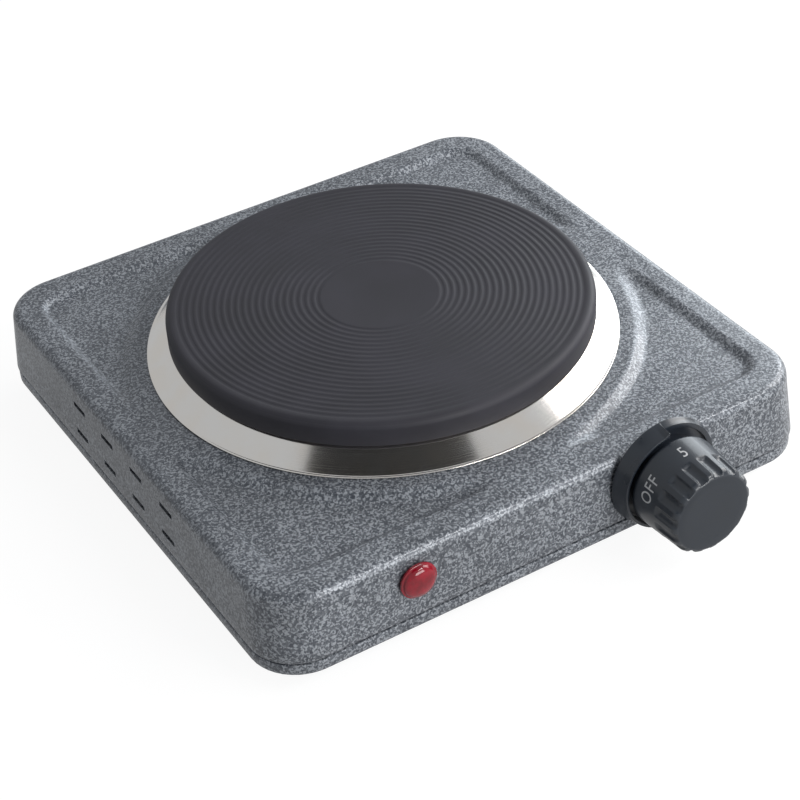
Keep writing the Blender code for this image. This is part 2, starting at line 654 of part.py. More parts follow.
def make_bezel(finishes):
    axis = (KNOB_X, FRONT, KNOB_Z)
    bezel = turned("knob_bezel", [(BUSH_RADIUS + GAP, GAP), (BUSH_RADIUS + GAP, GAP + BEZEL_BACK),
                                  (BEZEL_BORE, GAP + BEZEL_BACK), (BEZEL_BORE, BEZEL_LOW),
                                  (BEZEL_RIM + 0.7, BEZEL_LOW), (BEZEL_RADIUS, GAP)], 48,
                   finishes["black_gloss"], origin=axis, forward=True)
    wall = turned("bezel_high_wall", [(BEZEL_BORE, GAP + 0.5), (BEZEL_BORE, BEZEL_HIGH),
                                      (BEZEL_RIM, BEZEL_HIGH), (BEZEL_RADIUS - 0.02, GAP + 0.5)], 24, None,
                  start=POINTER_ANGLE, sweep=180, origin=axis, forward=True)
    combine(bezel, wall, "UNION")


def make_thermostat(finishes):
    axis = (KNOB_X, FRONT, KNOB_Z)
    plate_front = wall_lean(FRAME_HIGH) + SHEET + GAP  # inward from the foot of the front wall
    plate_back = plate_front + FRAME_SHEET
    low, high = FRAME_LOW - KNOB_Z, FRAME_HIGH - KNOB_Z
    frame_end = -plate_front - FRAME_LENGTH
    outline = [(-plate_front, high), (-plate_front, low), (frame_end, low), (frame_end, low + FRAME_SHEET),
               (-plate_back, low + FRAME_SHEET), (-plate_back, high)]
    frame = prism("thermostat_frame", [(v, w) for w, v in outline], -FRAME_WIDTH / 2, FRAME_WIDTH / 2,
                  finishes["zinc_steel"], plane="yz", smooth=False, origin=axis, forward=True)
    drill(frame, BUSH_RADIUS + GAP, -plate_back - 2, -plate_front + 2, axis, forward=True)

    flange_front = -plate_back - GAP
    flange_back = flange_front - 2
    bore = SHAFT_RADIUS + 0.1
    nut_back = GAP + BEZEL_BACK + GAP
    turned("thermostat_bush", [(bore, nut_back + 4.2), (BUSH_RADIUS, nut_back + 4.2),
                               (BUSH_RADIUS, flange_front), (BUSH_FLANGE, flange_front),
                               (BUSH_FLANGE, flange_back), (bore, flange_back)], 20,
           finishes["brass"], origin=axis, forward=True)
    nut = prism("thermostat_nut", regular_outline(6, THERMOSTAT_NUT_FLATS), nut_back, nut_back + 2.8,
                finishes["zinc_steel"], smooth=False, origin=axis, forward=True)
    drill(nut, BUSH_RADIUS + GAP, nut_back - 2, nut_back + 6, axis, forward=True)

    stack_low = FRAME_LOW + FRAME_SHEET + GAP - KNOB_Z
    stack_high = BLADE_HEIGHT / 2 + 2.4
    stack_end = STACK_X + STACK_WIDTH
    stack = box("thermostat_stack", (STACK_X, stack_low, -STACK_BACK), (stack_end, stack_high, -STACK_FRONT),
                finishes["ceramic"], origin=axis, forward=True)
    arm_front = CAM_BACK + GAP
    bimetal_front = arm_front + BLADE_SPACING
    for name, front, sheet, material in (("contact_arm", arm_front, ARM_SHEET, "brass"),
                                         ("bimetal_blade", bimetal_front, BIMETAL_SHEET, "zinc_steel")):
        slot = box(f"{name}_slot", (STACK_X - 2, -BLADE_HEIGHT / 2 - GAP, -front - sheet - GAP),
                   (stack_end + 2, BLADE_HEIGHT / 2 + GAP, -front + GAP), None, origin=axis, forward=True)
        combine(stack, slot)
        hinge = (KNOB_X + STACK_X, FRONT + front + sheet / 2, KNOB_Z)
        box(name, (-STACK_X - BLADE_REACH, -BLADE_HEIGHT / 2, -sheet / 2),
            (STACK_WIDTH + BLADE_TAB, BLADE_HEIGHT / 2, sheet / 2), finishes[material], origin=hinge,
            forward=True)
    spot = (KNOB_X + STACK_X + STACK_WIDTH / 2, FRONT + STACK_FRONT + 2.6, KNOB_Z)
    drill(stack, 1.3 + GAP, stack_low - 2, stack_high + 2, spot, steps=12)
    drill(frame, 1.3 + GAP, low - 2, low + FRAME_SHEET + 1, spot, steps=12)
    head = stack_high + GAP
    turned("stack_screw", [(0, head + 1.6), (2.4, head + 1.6), (2.4, head), (1.3, head), (1.3, low - 0.8),
                           (0, low - 0.8)], 12, finishes["zinc_steel"], origin=spot)


# Lamp and rear inlet

def make_lamp(finishes):
    axis = (LAMP_X, FRONT, LAMP_Z)
    seat = -wall_lean(LAMP_Z - LENS_FLANGE) + GAP
    rim = seat + 1.3
    bore = LENS_TUBE - LENS_WALL
    dome = []
    for step in range(5):
        angle = math.radians(90 * step / 5)
        dome.append((LENS_DOME * math.cos(angle), rim + (LENS_PROUD - rim) * math.sin(angle)))
    profile = [(0, LENS_PROUD), *reversed(dome), (LENS_FLANGE, rim - 0.4), (LENS_FLANGE, seat),
               (LENS_TUBE, seat), (LENS_TUBE, -LENS_LENGTH), (bore, -LENS_LENGTH), (bore, rim),
               (bore - 2.4, LENS_PROUD - 1.3), (0, LENS_PROUD - 1.0)]
    turned("lamp_lens", profile, 32, finishes["red_lens"], origin=axis, forward=True)
    socket = BULB_RADIUS + GAP
    plug = bore - GAP
    turned("lamp_holder", [(socket, -6), (plug, -6), (plug, -LENS_LENGTH - GAP),
                           (plug + 1.5, -LENS_LENGTH - GAP), (plug + 1.5, -LENS_LENGTH - 2),
                           (plug - 0.6, -LENS_LENGTH - 8),
                           (0, -LENS_LENGTH - 8), (0, -LENS_LENGTH), (socket, -LENS_LENGTH)], 20,
           finishes["white_plastic"], origin=axis, forward=True)
    bulb_foot = GAP - LENS_LENGTH
    turned("neon_bulb", [(0, 1.6), (BULB_RADIUS * 0.7, 1.0), (BULB_RADIUS, -0.6), (BULB_RADIUS, bulb_foot),
                         (0, bulb_foot)], 12, finishes["glass"], origin=axis, forward=True)
    clip_front = -wall_lean(LAMP_Z + 10) - SHEET - GAP
    clip_back = clip_front - 0.7
    turned("lamp_clip", [(LENS_TUBE + GAP, clip_front), (10, clip_front), (10, clip_back),
                         (LENS_TUBE + GAP, clip_back)], 20, finishes["zinc_steel"], origin=axis, forward=True)


def make_rear(finishes):
    """The inlet bush in the rear wall, and the terminal block and earth point behind it."""
    seat = -wall_lean(INLET_Z - INLET_FLANGE) + GAP
    inside = -wall_lean(INLET_Z + INLET_FLANGE) - SHEET - GAP
    profile = [(INLET_BORE, INLET_PROUD), (INLET_FLANGE - 1, INLET_PROUD), (INLET_FLANGE, INLET_PROUD - 1),
               (INLET_FLANGE, seat), (INLET_NECK, seat), (INLET_NECK, inside), (INLET_NECK + 1.4, inside),
               (INLET_NECK + 0.6, inside - 3), (INLET_BORE, inside - 3)]
    turned("cord_bush", [(radius, -reach) for radius, reach in profile], 28, finishes["rubber"],
           origin=(INLET_X, BACK, INLET_Z), forward=True)

    wide, deep, tall = TERMINAL_SIZE
    low = SHEET + GAP
    block = box("mains_terminal", (-wide / 2, -deep / 2, low), (wide / 2, deep / 2, low + tall),
                finishes["white_plastic"], origin=(INLET_X, TERMINAL_Y, 0))
    for pole in range(TERMINAL_POLES):
        x = INLET_X + (pole - (TERMINAL_POLES - 1) / 2) * TERMINAL_PITCH
        drill(block, TERMINAL_BORE, -deep, deep, (x, TERMINAL_Y, low + TERMINAL_BORE_Z), forward=True,
              steps=12)
    for side in (-1, 1):
        x = INLET_X + side * TERMINAL_PITCH / 2
        combine(block, box(f"terminal_groove_{side}", (x - 1, TERMINAL_Y - deep, low + tall - 3),
                           (x + 1, TERMINAL_Y + deep, low + tall + 2), None))
    drill(block, SCREW_SHANK + GAP, low - 2, low + tall + 2, (TERMINAL_SCREW_X, TERMINAL_Y, 0), steps=12)
    turned("mains_terminal_screw", [(0, low + tall + GAP + 1.8), (3.2, low + tall + GAP + 1.8),
                                    (3.2, low + tall + GAP), (SCREW_SHANK, low + tall + GAP),
                                    (SCREW_SHANK, 0.2), (0, 0.2)], 12,
           finishes["zinc_steel"], origin=(TERMINAL_SCREW_X, TERMINAL_Y, 0))
    lug = low + 1.0
    turned("earth_lug", [(SCREW_SHANK + GAP, lug), (4.4, lug), (4.4, low), (SCREW_SHANK + GAP, low)], 16,
           finishes["brass"], origin=(EARTH_X, EARTH_Y, 0))
    head = lug + GAP
    turned("earth_screw", [(0, head + 2.2), (3.8, head + 2.2), (3.8, head), (SCREW_SHANK, head),
                           (SCREW_SHANK, 0.2), (0, 0.2)], 12,
           finishes["zinc_steel"], origin=(EARTH_X, EARTH_Y, 0))


# Leads

def make_leads(finishes):
    """Six inner leads. Each ends a clearance away from the terminal that it is joined to."""
    first = ELEMENT_ANGLE + COIL_END
    outer = polar(COIL_OUTER, first, 0)
    inner = polar(COIL_INNER, first, 0)
    pin_z = PIN_LOW + 2.5
    reach = PIN_RADIUS + GAP
    tab_x = KNOB_X + STACK_X + STACK_WIDTH + BLADE_TAB + GAP
    arm_y = FRONT + CAM_BACK + GAP + ARM_SHEET / 2
    blade_y = FRONT + CAM_BACK + GAP + BLADE_SPACING + BIMETAL_SHEET / 2
    pole_z = SHEET + GAP + TERMINAL_BORE_Z
    pole = TERMINAL_PITCH
    lamp_y = FRONT + LENS_LENGTH + 8 + GAP

    def from_pole(x):
        """Straight out of a bore of the mains terminal."""
        mouth = TERMINAL_SIZE[1] / 2
        return [(x, TERMINAL_Y - along, pole_z) for along in (0, mouth + 0.5, mouth + 4)]

    tube("live_lead", [*from_pole(INLET_X + pole), (93, 76, 6), (108, 58, 6), (112, 0, 6), (109, -55, 6),
                       (98, -80, 6), (90, -92, 8), (84, -104, 15), (tab_x + 6, arm_y, KNOB_Z - 1),
                       (tab_x, arm_y, KNOB_Z)], LEAD_DIAMETER, finishes["brown_sleeve"])
    tube("switched_lead", [(tab_x, blade_y, KNOB_Z + 1.6), (tab_x + 5, blade_y, KNOB_Z + 1.8), (80, -94, 27),
                           (68, -68, pin_z), polar(COIL_OUTER + 12, first, pin_z),
                           polar(COIL_OUTER + 5, first, pin_z),
                           (outer[0] + reach * math.cos(math.radians(first)),
                            outer[1] + reach * math.sin(math.radians(first)), pin_z)],
         LEAD_DIAMETER, finishes["black_sleeve"])
    tube("neutral_lead", [*from_pole(INLET_X), (78, 80, 8), (90, 66, 12), (97, 50, 19), (89, 32, pin_z - 2.5),
                          (66, 8, pin_z), (46, -11, pin_z),
                          (inner[0] + reach * 0.82, inner[1] + reach * 0.57, pin_z)],
         LEAD_DIAMETER, finishes["blue_sleeve"])
    tube("earth_lead", [*from_pole(INLET_X - pole), (54, 86, 4.8), (45, 87, 3.9), (EARTH_X, 96, SHEET + 2.7),
                        (EARTH_X, EARTH_Y - 4.1, SHEET + 2.7)],
         LEAD_DIAMETER, finishes["green_sleeve"])
    tube("lamp_lead_switched", [(LAMP_X - 2.5, lamp_y, LAMP_Z), (LAMP_X - 2, lamp_y + 6, LAMP_Z),
                                (-52, -101, 16), (0, -103, 9), (36, -93.5, 10), (60, -92, 13), (75, -93, 19),
                                (79, -99, 22.5), (tab_x + 4, blade_y, KNOB_Z - 1.7),
                                (tab_x, blade_y, KNOB_Z - 1.7)],
         LAMP_LEAD_DIAMETER, finishes["black_sleeve"])
    tube("lamp_lead_neutral", [(LAMP_X + 2.5, lamp_y, LAMP_Z), (LAMP_X + 4, lamp_y + 7, LAMP_Z),
                               (-45, -88, 26), (-10, -60, pin_z), (15, -38, pin_z),
                               (inner[0] - reach * 0.67, inner[1] - reach * 0.74, pin_z)],
         LAMP_LEAD_DIAMETER, finishes["blue_sleeve"])


# Main

def clear_scene():
    for thing in list(bpy.data.objects):
        bpy.data.objects.remove(thing, do_unlink=True)


def main():
    clear_scene()
    finishes = make_finishes()
    make_housing(finishes)
    make_base_pan(finishes)
    make_feet(finishes)
    make_plate(finishes)
    make_ring(finishes)
    make_element(finishes)
    make_clamp(finishes)
    make_knob(finishes)
    make_bezel(finishes)
    make_thermostat(finishes)
    make_lamp(finishes)
    make_rear(finishes)
    make_leads(finishes)


main()
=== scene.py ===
"""Looks of a single hot plate burner, built round its packed model.

Lengths are in metres in the packed model's frame: the floor at Z = 0, the knob towards -Y.
"""

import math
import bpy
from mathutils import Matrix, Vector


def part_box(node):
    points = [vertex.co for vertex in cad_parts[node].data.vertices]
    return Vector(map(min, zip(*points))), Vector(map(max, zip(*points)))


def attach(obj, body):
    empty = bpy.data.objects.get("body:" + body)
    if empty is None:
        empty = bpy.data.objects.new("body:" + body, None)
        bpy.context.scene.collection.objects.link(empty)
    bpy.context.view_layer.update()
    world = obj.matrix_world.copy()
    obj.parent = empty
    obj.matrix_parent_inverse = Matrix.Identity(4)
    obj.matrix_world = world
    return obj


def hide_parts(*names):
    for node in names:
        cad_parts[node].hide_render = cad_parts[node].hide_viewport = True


bl_info = {
    "name": "Hot Plate Burner",
    "version": (1, 0, 0),
    "blender": (4, 5, 0),
    "location": "3D View > Sidebar > Burner",
    "description": "Builds the finished pieces, finishes and stage of a single hot plate burner",
    "category": "Object",
}

import bmesh
import bpy
from bpy.props import FloatProperty, FloatVectorProperty, IntProperty, PointerProperty
from mathutils import Matrix, Vector

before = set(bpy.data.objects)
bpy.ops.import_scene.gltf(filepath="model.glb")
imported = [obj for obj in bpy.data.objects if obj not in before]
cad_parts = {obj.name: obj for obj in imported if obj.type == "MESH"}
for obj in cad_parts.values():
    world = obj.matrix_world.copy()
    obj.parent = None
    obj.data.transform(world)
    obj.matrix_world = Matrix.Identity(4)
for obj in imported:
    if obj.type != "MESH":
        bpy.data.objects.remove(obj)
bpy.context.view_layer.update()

MM = 0.001
GAP = 0.3 * MM  # clearance that the packed pieces keep
COLLAR = 88.2 * MM  # outer radius of the shell's collar, under the trim ring
RING_BORE = 86.6 * MM
SHAFT_HOLE = 5.0 * MM
FIXED = "burner"
TURNING = "control"


def middle(node):
    low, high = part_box(node)
    return (low + high) / 2


SHELL_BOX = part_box("housing_shell")
PLATE_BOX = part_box("hot_plate")
RING_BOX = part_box("trim_ring")
KNOB_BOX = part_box("knob")
BEZEL_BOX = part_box("knob_bezel")
LENS_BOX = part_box("lamp_lens")
BUSH_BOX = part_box("cord_bush")
PAN_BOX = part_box("base_pan")

HALF_X = SHELL_BOX[1].x
HALF_Y = (SHELL_BOX[1].y - SHELL_BOX[0].y) / 2
SHELL_MIDDLE = Vector((0, middle("housing_shell").y, 0))
SHELL_LOW = SHELL_BOX[0].z
SHELL_TOP = RING_BOX[0].z - GAP
FRONT = SHELL_BOX[0].y
BACK = SHELL_BOX[1].y
PLATE_MIDDLE = Vector((0, middle("hot_plate").y, 0))
PLATE_RADIUS = PLATE_BOX[1].x
PLATE_TOP = PLATE_BOX[1].z
PLATE_RIM = RING_BOX[1].z + GAP
KNOB_AXIS = Vector((middle("thermostat_shaft").x, FRONT, middle("thermostat_shaft").z))
LAMP_AXIS = Vector((middle("lamp_lens").x, FRONT, middle("lamp_lens").z))
INLET_AXIS = Vector((middle("cord_bush").x, BACK, middle("cord_bush").z))
FEET = [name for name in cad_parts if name.startswith("foot_") and "screw" not in name]


# Settings

def length(name, description, default, low=0.0, high=1.0):
    return FloatProperty(name=name, description=description, default=default, min=low, max=high,
                         subtype="DISTANCE", unit="LENGTH", precision=5)


def colour(name, description, default):
    return FloatVectorProperty(name=name, description=description, default=default, size=3, min=0.0, max=1.0,
                               subtype="COLOR")


def amount(name, description, default, high=50.0):
    return FloatProperty(name=name, description=description, default=default, min=0.0, max=high)


def angle(name, description, degrees):
    return FloatProperty(name=name, description=description, default=math.radians(degrees), subtype="ANGLE")


class BurnerHousing(bpy.types.PropertyGroup):
    """Sizes of the pressed steel housing."""

    sheet: length("Sheet", "Thickness of the steel", 1.0 * MM)
    draft: length("Draft", "How far each wall leans in by its top", 1.2 * MM)
    low_corner: length("Lower corner", "Plan radius of the corners at the seam", 21.0 * MM)
    top_corner: length("Upper corner", "Plan radius of the corners at the top", 24.0 * MM)
    edge_fillet: length("Edge fillet", "Radius of the rolled top edge", 4.0 * MM)
    pan_inset: length("Pan inset", "How far the pan's side stands back from the shell's", 0.1 * MM)
    seam: length("Seam", "Extra height of the open seam above the pan", 0.6 * MM)
    field_depth: length("Field depth", "Depth of the four sunk corner fields", 2.5 * MM)
    field_ramp: length("Field ramp", "Width of a field's slope round the plate", 6.5 * MM)
    side_ramp: length("Side ramp", "Width of a field's slope along the walls", 4.5 * MM)
    field_fade: length("Field fade", "Length over which a field's ends rise to the top", 22.0 * MM)
    field_x: length("Field X", "Distance of the left and right ramps from the middle", 114.5 * MM)
    field_y: length("Field Y", "Distance of the front and rear ramps from the middle", 113.4 * MM)
    field_arc: length("Field arc", "Radius of the ramps round the plate", 111.5 * MM)
    field_tip: length("Field tip", "Distance of each field's ends from the middle line", 16.0 * MM)
    field_corner: length("Field corner", "Radius of a field's outer corner", 10.0 * MM)
    vent_length: length("Vent length", "Length of a side slot", 11.0 * MM)
    vent_height: length("Vent height", "Height of a side slot", 2.3 * MM)
    vent_pitch: length("Vent pitch", "Distance between the slots of a row", 27.5 * MM)
    vent_low: length("Lower vents", "Height of the lower row above the pan's underside", 14.0 * MM)
    vent_high: length("Upper vents", "Height of the upper row above the pan's underside", 28.0 * MM)
    vents: IntProperty(name="Vents", description="Slots in each row", default=4, min=0, max=8)


class BurnerPlate(bpy.types.PropertyGroup):
    """Sizes of the plate and its trim ring."""

    fillet: length("Edge radius", "Radius of the plate's top edge", 3.0 * MM)
    flat: length("Middle", "Radius of the plain middle", 27.0 * MM)
    groove_pitch: length("Groove pitch", "Distance from one groove to the next", 3.0 * MM)
    groove_width: length("Groove width", "Width of a groove at the top", 1.5 * MM)
    groove_depth: length("Groove depth", "Depth of a groove", 0.12 * MM)
    grooves: IntProperty(name="Grooves", description="Rings turned in the top", default=21, min=1, max=28)
    ring_sheet: length("Ring sheet", "Thickness of the trim ring", 0.5 * MM)
    ring_seat: length("Ring seat", "Width of the ring's flat part under the plate", 4.1 * MM)
    ring_lip: length("Ring lip", "Width of the ring's flat outer lip", 1.0 * MM)


class BurnerKnob(bpy.types.PropertyGroup):
    """Sizes of the knob and its bezel."""

    nose: length("Nose radius", "Radius behind the front shoulder", 19.3 * MM)
    cap: length("Cap radius", "Radius of the flat front", 16.9 * MM)
    shoulder: length("Shoulder", "Depth of the front shoulder", 3.4 * MM)
    grips: IntProperty(name="Grips", description="Finger grooves round the knob", default=16, min=4, max=32)
    grip_start: length("Grip start", "Distance of the grooves' blind ends from the front wall", 22.6 * MM)
    grip_depth: length("Grip depth", "Depth of a finger groove", 1.35 * MM)
    grip_width: length("Grip width", "Width of a finger groove", 4.6 * MM)
    letter_height: length("Letter height", "Height of the dial's print", 5.6 * MM)
    letter_place: length("Letter place", "Distance of the print's middle from the front wall", 16.3 * MM)
    bezel_low: length("Bezel low side", "Height of the bezel's right half", 4.0 * MM)
    bezel_high: length("Bezel high side", "Height of the bezel's left half", 8.2 * MM)
    bezel_rim: length("Bezel rim", "Outer radius at the bezel's high edge", 22.9 * MM)
    bezel_bore: length("Bezel bore", "Inner radius of the bezel's wall", 21.6 * MM)
    bezel_boss: length("Bezel boss", "Radius of the boss that hides the shaft behind the knob", 17.0 * MM)
    tooth: length("Tooth", "How far the pointer's tooth stands out of the bezel's rim", 1.5 * MM)
    tooth_turn: angle("Tooth width", "Angle over which the pointer's tooth tapers", 6)
    pointer_angle: angle("Pointer", "Angle of the step that marks the setting", 94)


class BurnerFinish(bpy.types.PropertyGroup):
    """Colours and grain of the finishes."""

    enamel_ground: colour("Enamel ground", "Dark ground of the hammertone enamel", (0.064, 0.073, 0.090))
    enamel_vein: colour("Enamel veins", "Pale veins of the hammertone enamel", (0.41, 0.435, 0.47))
    enamel_cell: length("Enamel cell", "Size of one curl of the hammertone pattern", 1.08 * MM)
    iron: colour("Plate", "Coating of the cast-iron plate", (0.0275, 0.0265, 0.034))
    steel: colour("Polished steel", "Tint of the trim ring", (0.80, 0.775, 0.74))
    plastic: colour("Black plastic", "Knob and bezel", (0.020, 0.026, 0.036))
    print_ink: colour("Print", "Letters on the knob", (0.62, 0.63, 0.64))
    lens: colour("Lamp lens", "Red of the lamp", (0.42, 0.004, 0.022))
    zinc: colour("Zinc", "Plated inner parts", (0.50, 0.51, 0.50))


class BurnerStage(bpy.types.PropertyGroup):
    """Camera, lamps and floor."""

    azimuth: angle("Azimuth", "Camera's turn from the front towards the left", 28.94)
    elevation: angle("Elevation", "Camera's height above the horizon", 36.83)
    roll: angle("Roll", "Camera's tilt about its own axis", -4.22)
    distance: length("Distance", "Camera to the point that it looks at", 0.8925, 0.1, 5.0)
    aim: FloatVectorProperty(name="Aim", description="Point that the camera looks at",
                             default=(-0.0217, -0.03205, 0.05029), size=3, subtype="XYZ", unit="LENGTH")
    lens: FloatProperty(name="Lens", description="Focal length, in millimetres", default=97.14, min=10)
    floor: colour("Floor", "Colour of the floor", (0.55, 0.55, 0.55))
    world: amount("World", "Brightness of the light from all round", 0.24, 2.0)
    key: amount("Right lamp", "Power of the soft lamp on the right, in watts", 3.3)
    sheen: amount("Rear lamp", "Power of the soft lamp behind on the right, in watts", 2.2)
    front: amount("Front lamp", "Power of the soft lamp in front, in watts", 5.5)
    edge: amount("Edge lamp", "Power of the narrow lamp that lights the front edge, in watts", 4.4)
    panel: amount("Side panel", "Power of the low panel that the knob mirrors, in watts", 1.1)


def settings():
    return [getattr(bpy.context.scene, name) for name in GROUPS]


# Building by hand

def object_mode():
    if bpy.context.object and bpy.context.object.mode != "OBJECT":
        bpy.ops.object.mode_set(mode="OBJECT")
    bpy.ops.object.select_all(action="DESELECT")


def activate(piece):
    object_mode()
    piece.select_set(True)
    bpy.context.view_layer.objects.active = piece


def apply_place(piece):
    """Puts the piece's place, turn and scale in its mesh."""
    activate(piece)
    bpy.ops.object.transform_apply(location=True, rotation=True, scale=True)


def tidy(piece, smooth_angle=35.0):
    activate(piece)
    bpy.ops.object.mode_set(mode="EDIT")
    bpy.ops.mesh.select_all(action="SELECT")
    bpy.ops.mesh.remove_doubles(threshold=1e-6)
    bpy.ops.mesh.normals_make_consistent(inside=False)
    bpy.ops.object.mode_set(mode="OBJECT")
    bpy.ops.object.shade_smooth_by_angle(angle=math.radians(smooth_angle))
    return piece


def apply_modifiers(piece):
    activate(piece)
    for modifier in list(piece.modifiers):
        bpy.ops.object.modifier_apply(modifier=modifier.name)
    return piece


def turned(name, profile, steps, at=Vector(), forward=False, smooth_angle=35.0):
    """Spins a profile of (radius, height) points about Z, or about the line that leaves the front wall."""
    object_mode()
    first = Vector((profile[0][0], 0, profile[0][1]))
    bpy.ops.mesh.primitive_plane_add(size=0.001, location=(0, 0, 0))
    piece = bpy.context.object
    piece.name = name
    bpy.ops.object.mode_set(mode="EDIT")
    bpy.ops.mesh.select_all(action="SELECT")
    bpy.ops.mesh.merge(type="CENTER")
    bpy.ops.transform.translate(value=first)
    closed = profile[0][0] > 0 or profile[-1][0] > 0
    stops = profile + [profile[0]] if closed else profile
    for before, after in zip(stops, stops[1:]):
        move = (after[0] - before[0], 0, after[1] - before[1])
        bpy.ops.mesh.extrude_region_move(TRANSFORM_OT_translate={"value": move})
    bpy.ops.mesh.select_all(action="SELECT")
    bpy.ops.mesh.remove_doubles(threshold=1e-7)
    bpy.ops.mesh.spin(steps=steps, angle=2 * math.pi, center=(0, 0, 0), axis=(0, 0, 1))
    bpy.ops.object.mode_set(mode="OBJECT")
    if forward:
        piece.rotation_euler = (math.pi / 2, 0, 0)
    piece.location = at
    apply_place(piece)
    return tidy(piece, smooth_angle)


def bow(middle_at, reach, first, steps):
    """Points on a quarter arc, from its top outwards: the middle and the reach are (radius, height) pairs."""
    turns = [math.pi / 2 * step / steps for step in range(first, steps + 1)]
    return [(middle_at[0] + reach[0] * math.sin(turn), middle_at[1] + reach[1] * math.cos(turn))
            for turn in turns]


def wrapped(name, around, rows, shape):
    """Wraps a flat grid into a tube: shape(u, row) gives each point, u running once round from 0 to 1."""
    object_mode()
    bpy.ops.mesh.primitive_grid_add(x_subdivisions=around, y_subdivisions=rows - 1, size=1)
    piece = bpy.context.object
    piece.name = name
    for point in piece.data.vertices:
        u = point.co.x + 0.5
        row = round((point.co.y + 0.5) * (rows - 1))
        point.co = shape(u % 1.0 if u < 0.99999 else 0.0, row)
    return piece


def fill_ends(piece):
    activate(piece)
    bpy.ops.object.mode_set(mode="EDIT")
    bpy.ops.mesh.select_all(action="SELECT")
    bpy.ops.mesh.remove_doubles(threshold=1e-6)
    bpy.ops.mesh.select_all(action="DESELECT")
    bpy.ops.mesh.select_non_manifold()
    bpy.ops.mesh.edge_face_add()
    bpy.ops.object.mode_set(mode="OBJECT")
    return piece


def cutter_box(low, high):
    object_mode()
    centre = (Vector(low) + Vector(high)) / 2
    bpy.ops.mesh.primitive_cube_add(size=1, location=centre)
    box = bpy.context.object
    box.scale = Vector(high) - Vector(low)
    apply_place(box)
    return box


def cutter_rod(radius, low, high, at, forward=False):
    object_mode()
    along = Vector((0, -1, 0)) if forward else Vector((0, 0, 1))
    bpy.ops.mesh.primitive_cylinder_add(vertices=48, radius=radius, depth=high - low,
                                        location=Vector(at) + along * (low + high) / 2,
                                        rotation=(math.pi / 2 if forward else 0, 0, 0))
    rod = bpy.context.object
    apply_place(rod)
    return rod


def cut(piece, cutters):
    """Takes the cutters out of the piece, in one Boolean, and removes them."""
    object_mode()
    for cutter in cutters:
        cutter.select_set(True)
    bpy.context.view_layer.objects.active = cutters[0]
    if len(cutters) > 1:
        bpy.ops.object.join()
    tool = bpy.context.view_layer.objects.active
    activate(piece)
    modifier = piece.modifiers.new("cut", "BOOLEAN")
    modifier.object = tool
    modifier.operation = "DIFFERENCE"
    modifier.solver = "EXACT"
    bpy.ops.object.modifier_apply(modifier=modifier.name)
    bpy.data.objects.remove(tool)
    return piece


def finish_piece(piece, body, slot, materials, *nodes):
    """Gives the piece its material and its body, and hides the packed nodes that it stands for."""
    for material in materials if isinstance(materials, list) else [materials]:
        piece.data.materials.append(material)
    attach(piece, body)
    if nodes:
        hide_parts(*nodes)
    return piece


# Shader nodes

def add_node(tree, kind, inputs=None, **values):
    node = tree.nodes.new(kind)
    for key, value in values.items():
        setattr(node, key, value)
    for key, value in (inputs or {}).items():
        if isinstance(value, bpy.types.NodeSocket):
            tree.links.new(value, node.inputs[key])
        else:
            node.inputs[key].default_value = value
    return node


def maths(tree, operation, a, b):
    return add_node(tree, "ShaderNodeMath", {0: a, 1: b}, operation=operation).outputs[0]


def ramp(tree, value, low, high, out_low=0.0, out_high=1.0):
    """The value's span from low to high as a span of the outputs, eased at both ends."""
    spans = {"Value": value, "From Min": low, "From Max": high, "To Min": out_low, "To Max": out_high}
    return add_node(tree, "ShaderNodeMapRange", spans, interpolation_type="SMOOTHSTEP").outputs["Result"]


def blend_colours(tree, factor, a, b):
    ends = [end if isinstance(end, bpy.types.NodeSocket) else (*end, 1.0) for end in (a, b)]
    return add_node(tree, "ShaderNodeMix", {0: factor, 6: ends[0], 7: ends[1]}, data_type="RGBA").outputs[2]


def shade(tint, share):
    """The colour made darker or lighter by a share."""
    return tuple(value * share for value in tint)


def noise(tree, vector, scale, detail=3.0, roughness=0.5, distortion=0.0):
    shape = {"Vector": vector, "Scale": scale, "Detail": detail, "Roughness": roughness,
             "Distortion": distortion}
    return add_node(tree, "ShaderNodeTexNoise", shape).outputs["Fac"]


def new_group(name, inputs, outputs):
    """A shader group with named sockets: inputs map a name to (kind, default), outputs a name to a kind."""
    group = bpy.data.node_groups.new(name, "ShaderNodeTree")
    for socket, (kind, default) in inputs.items():
        made = group.interface.new_socket(name=socket, in_out="INPUT", socket_type=f"NodeSocket{kind}")
        if default is not None:
            made.default_value = default
    for socket, kind in outputs.items():
        group.interface.new_socket(name=socket, in_out="OUTPUT", socket_type=f"NodeSocket{kind}")
    return group, group.nodes.new("NodeGroupInput").outputs, group.nodes.new("NodeGroupOutput").inputs


def put_out(group, sink, **results):
    for name, result in results.items():
        group.links.new(result, sink[name.replace("_", " ")])
    return group


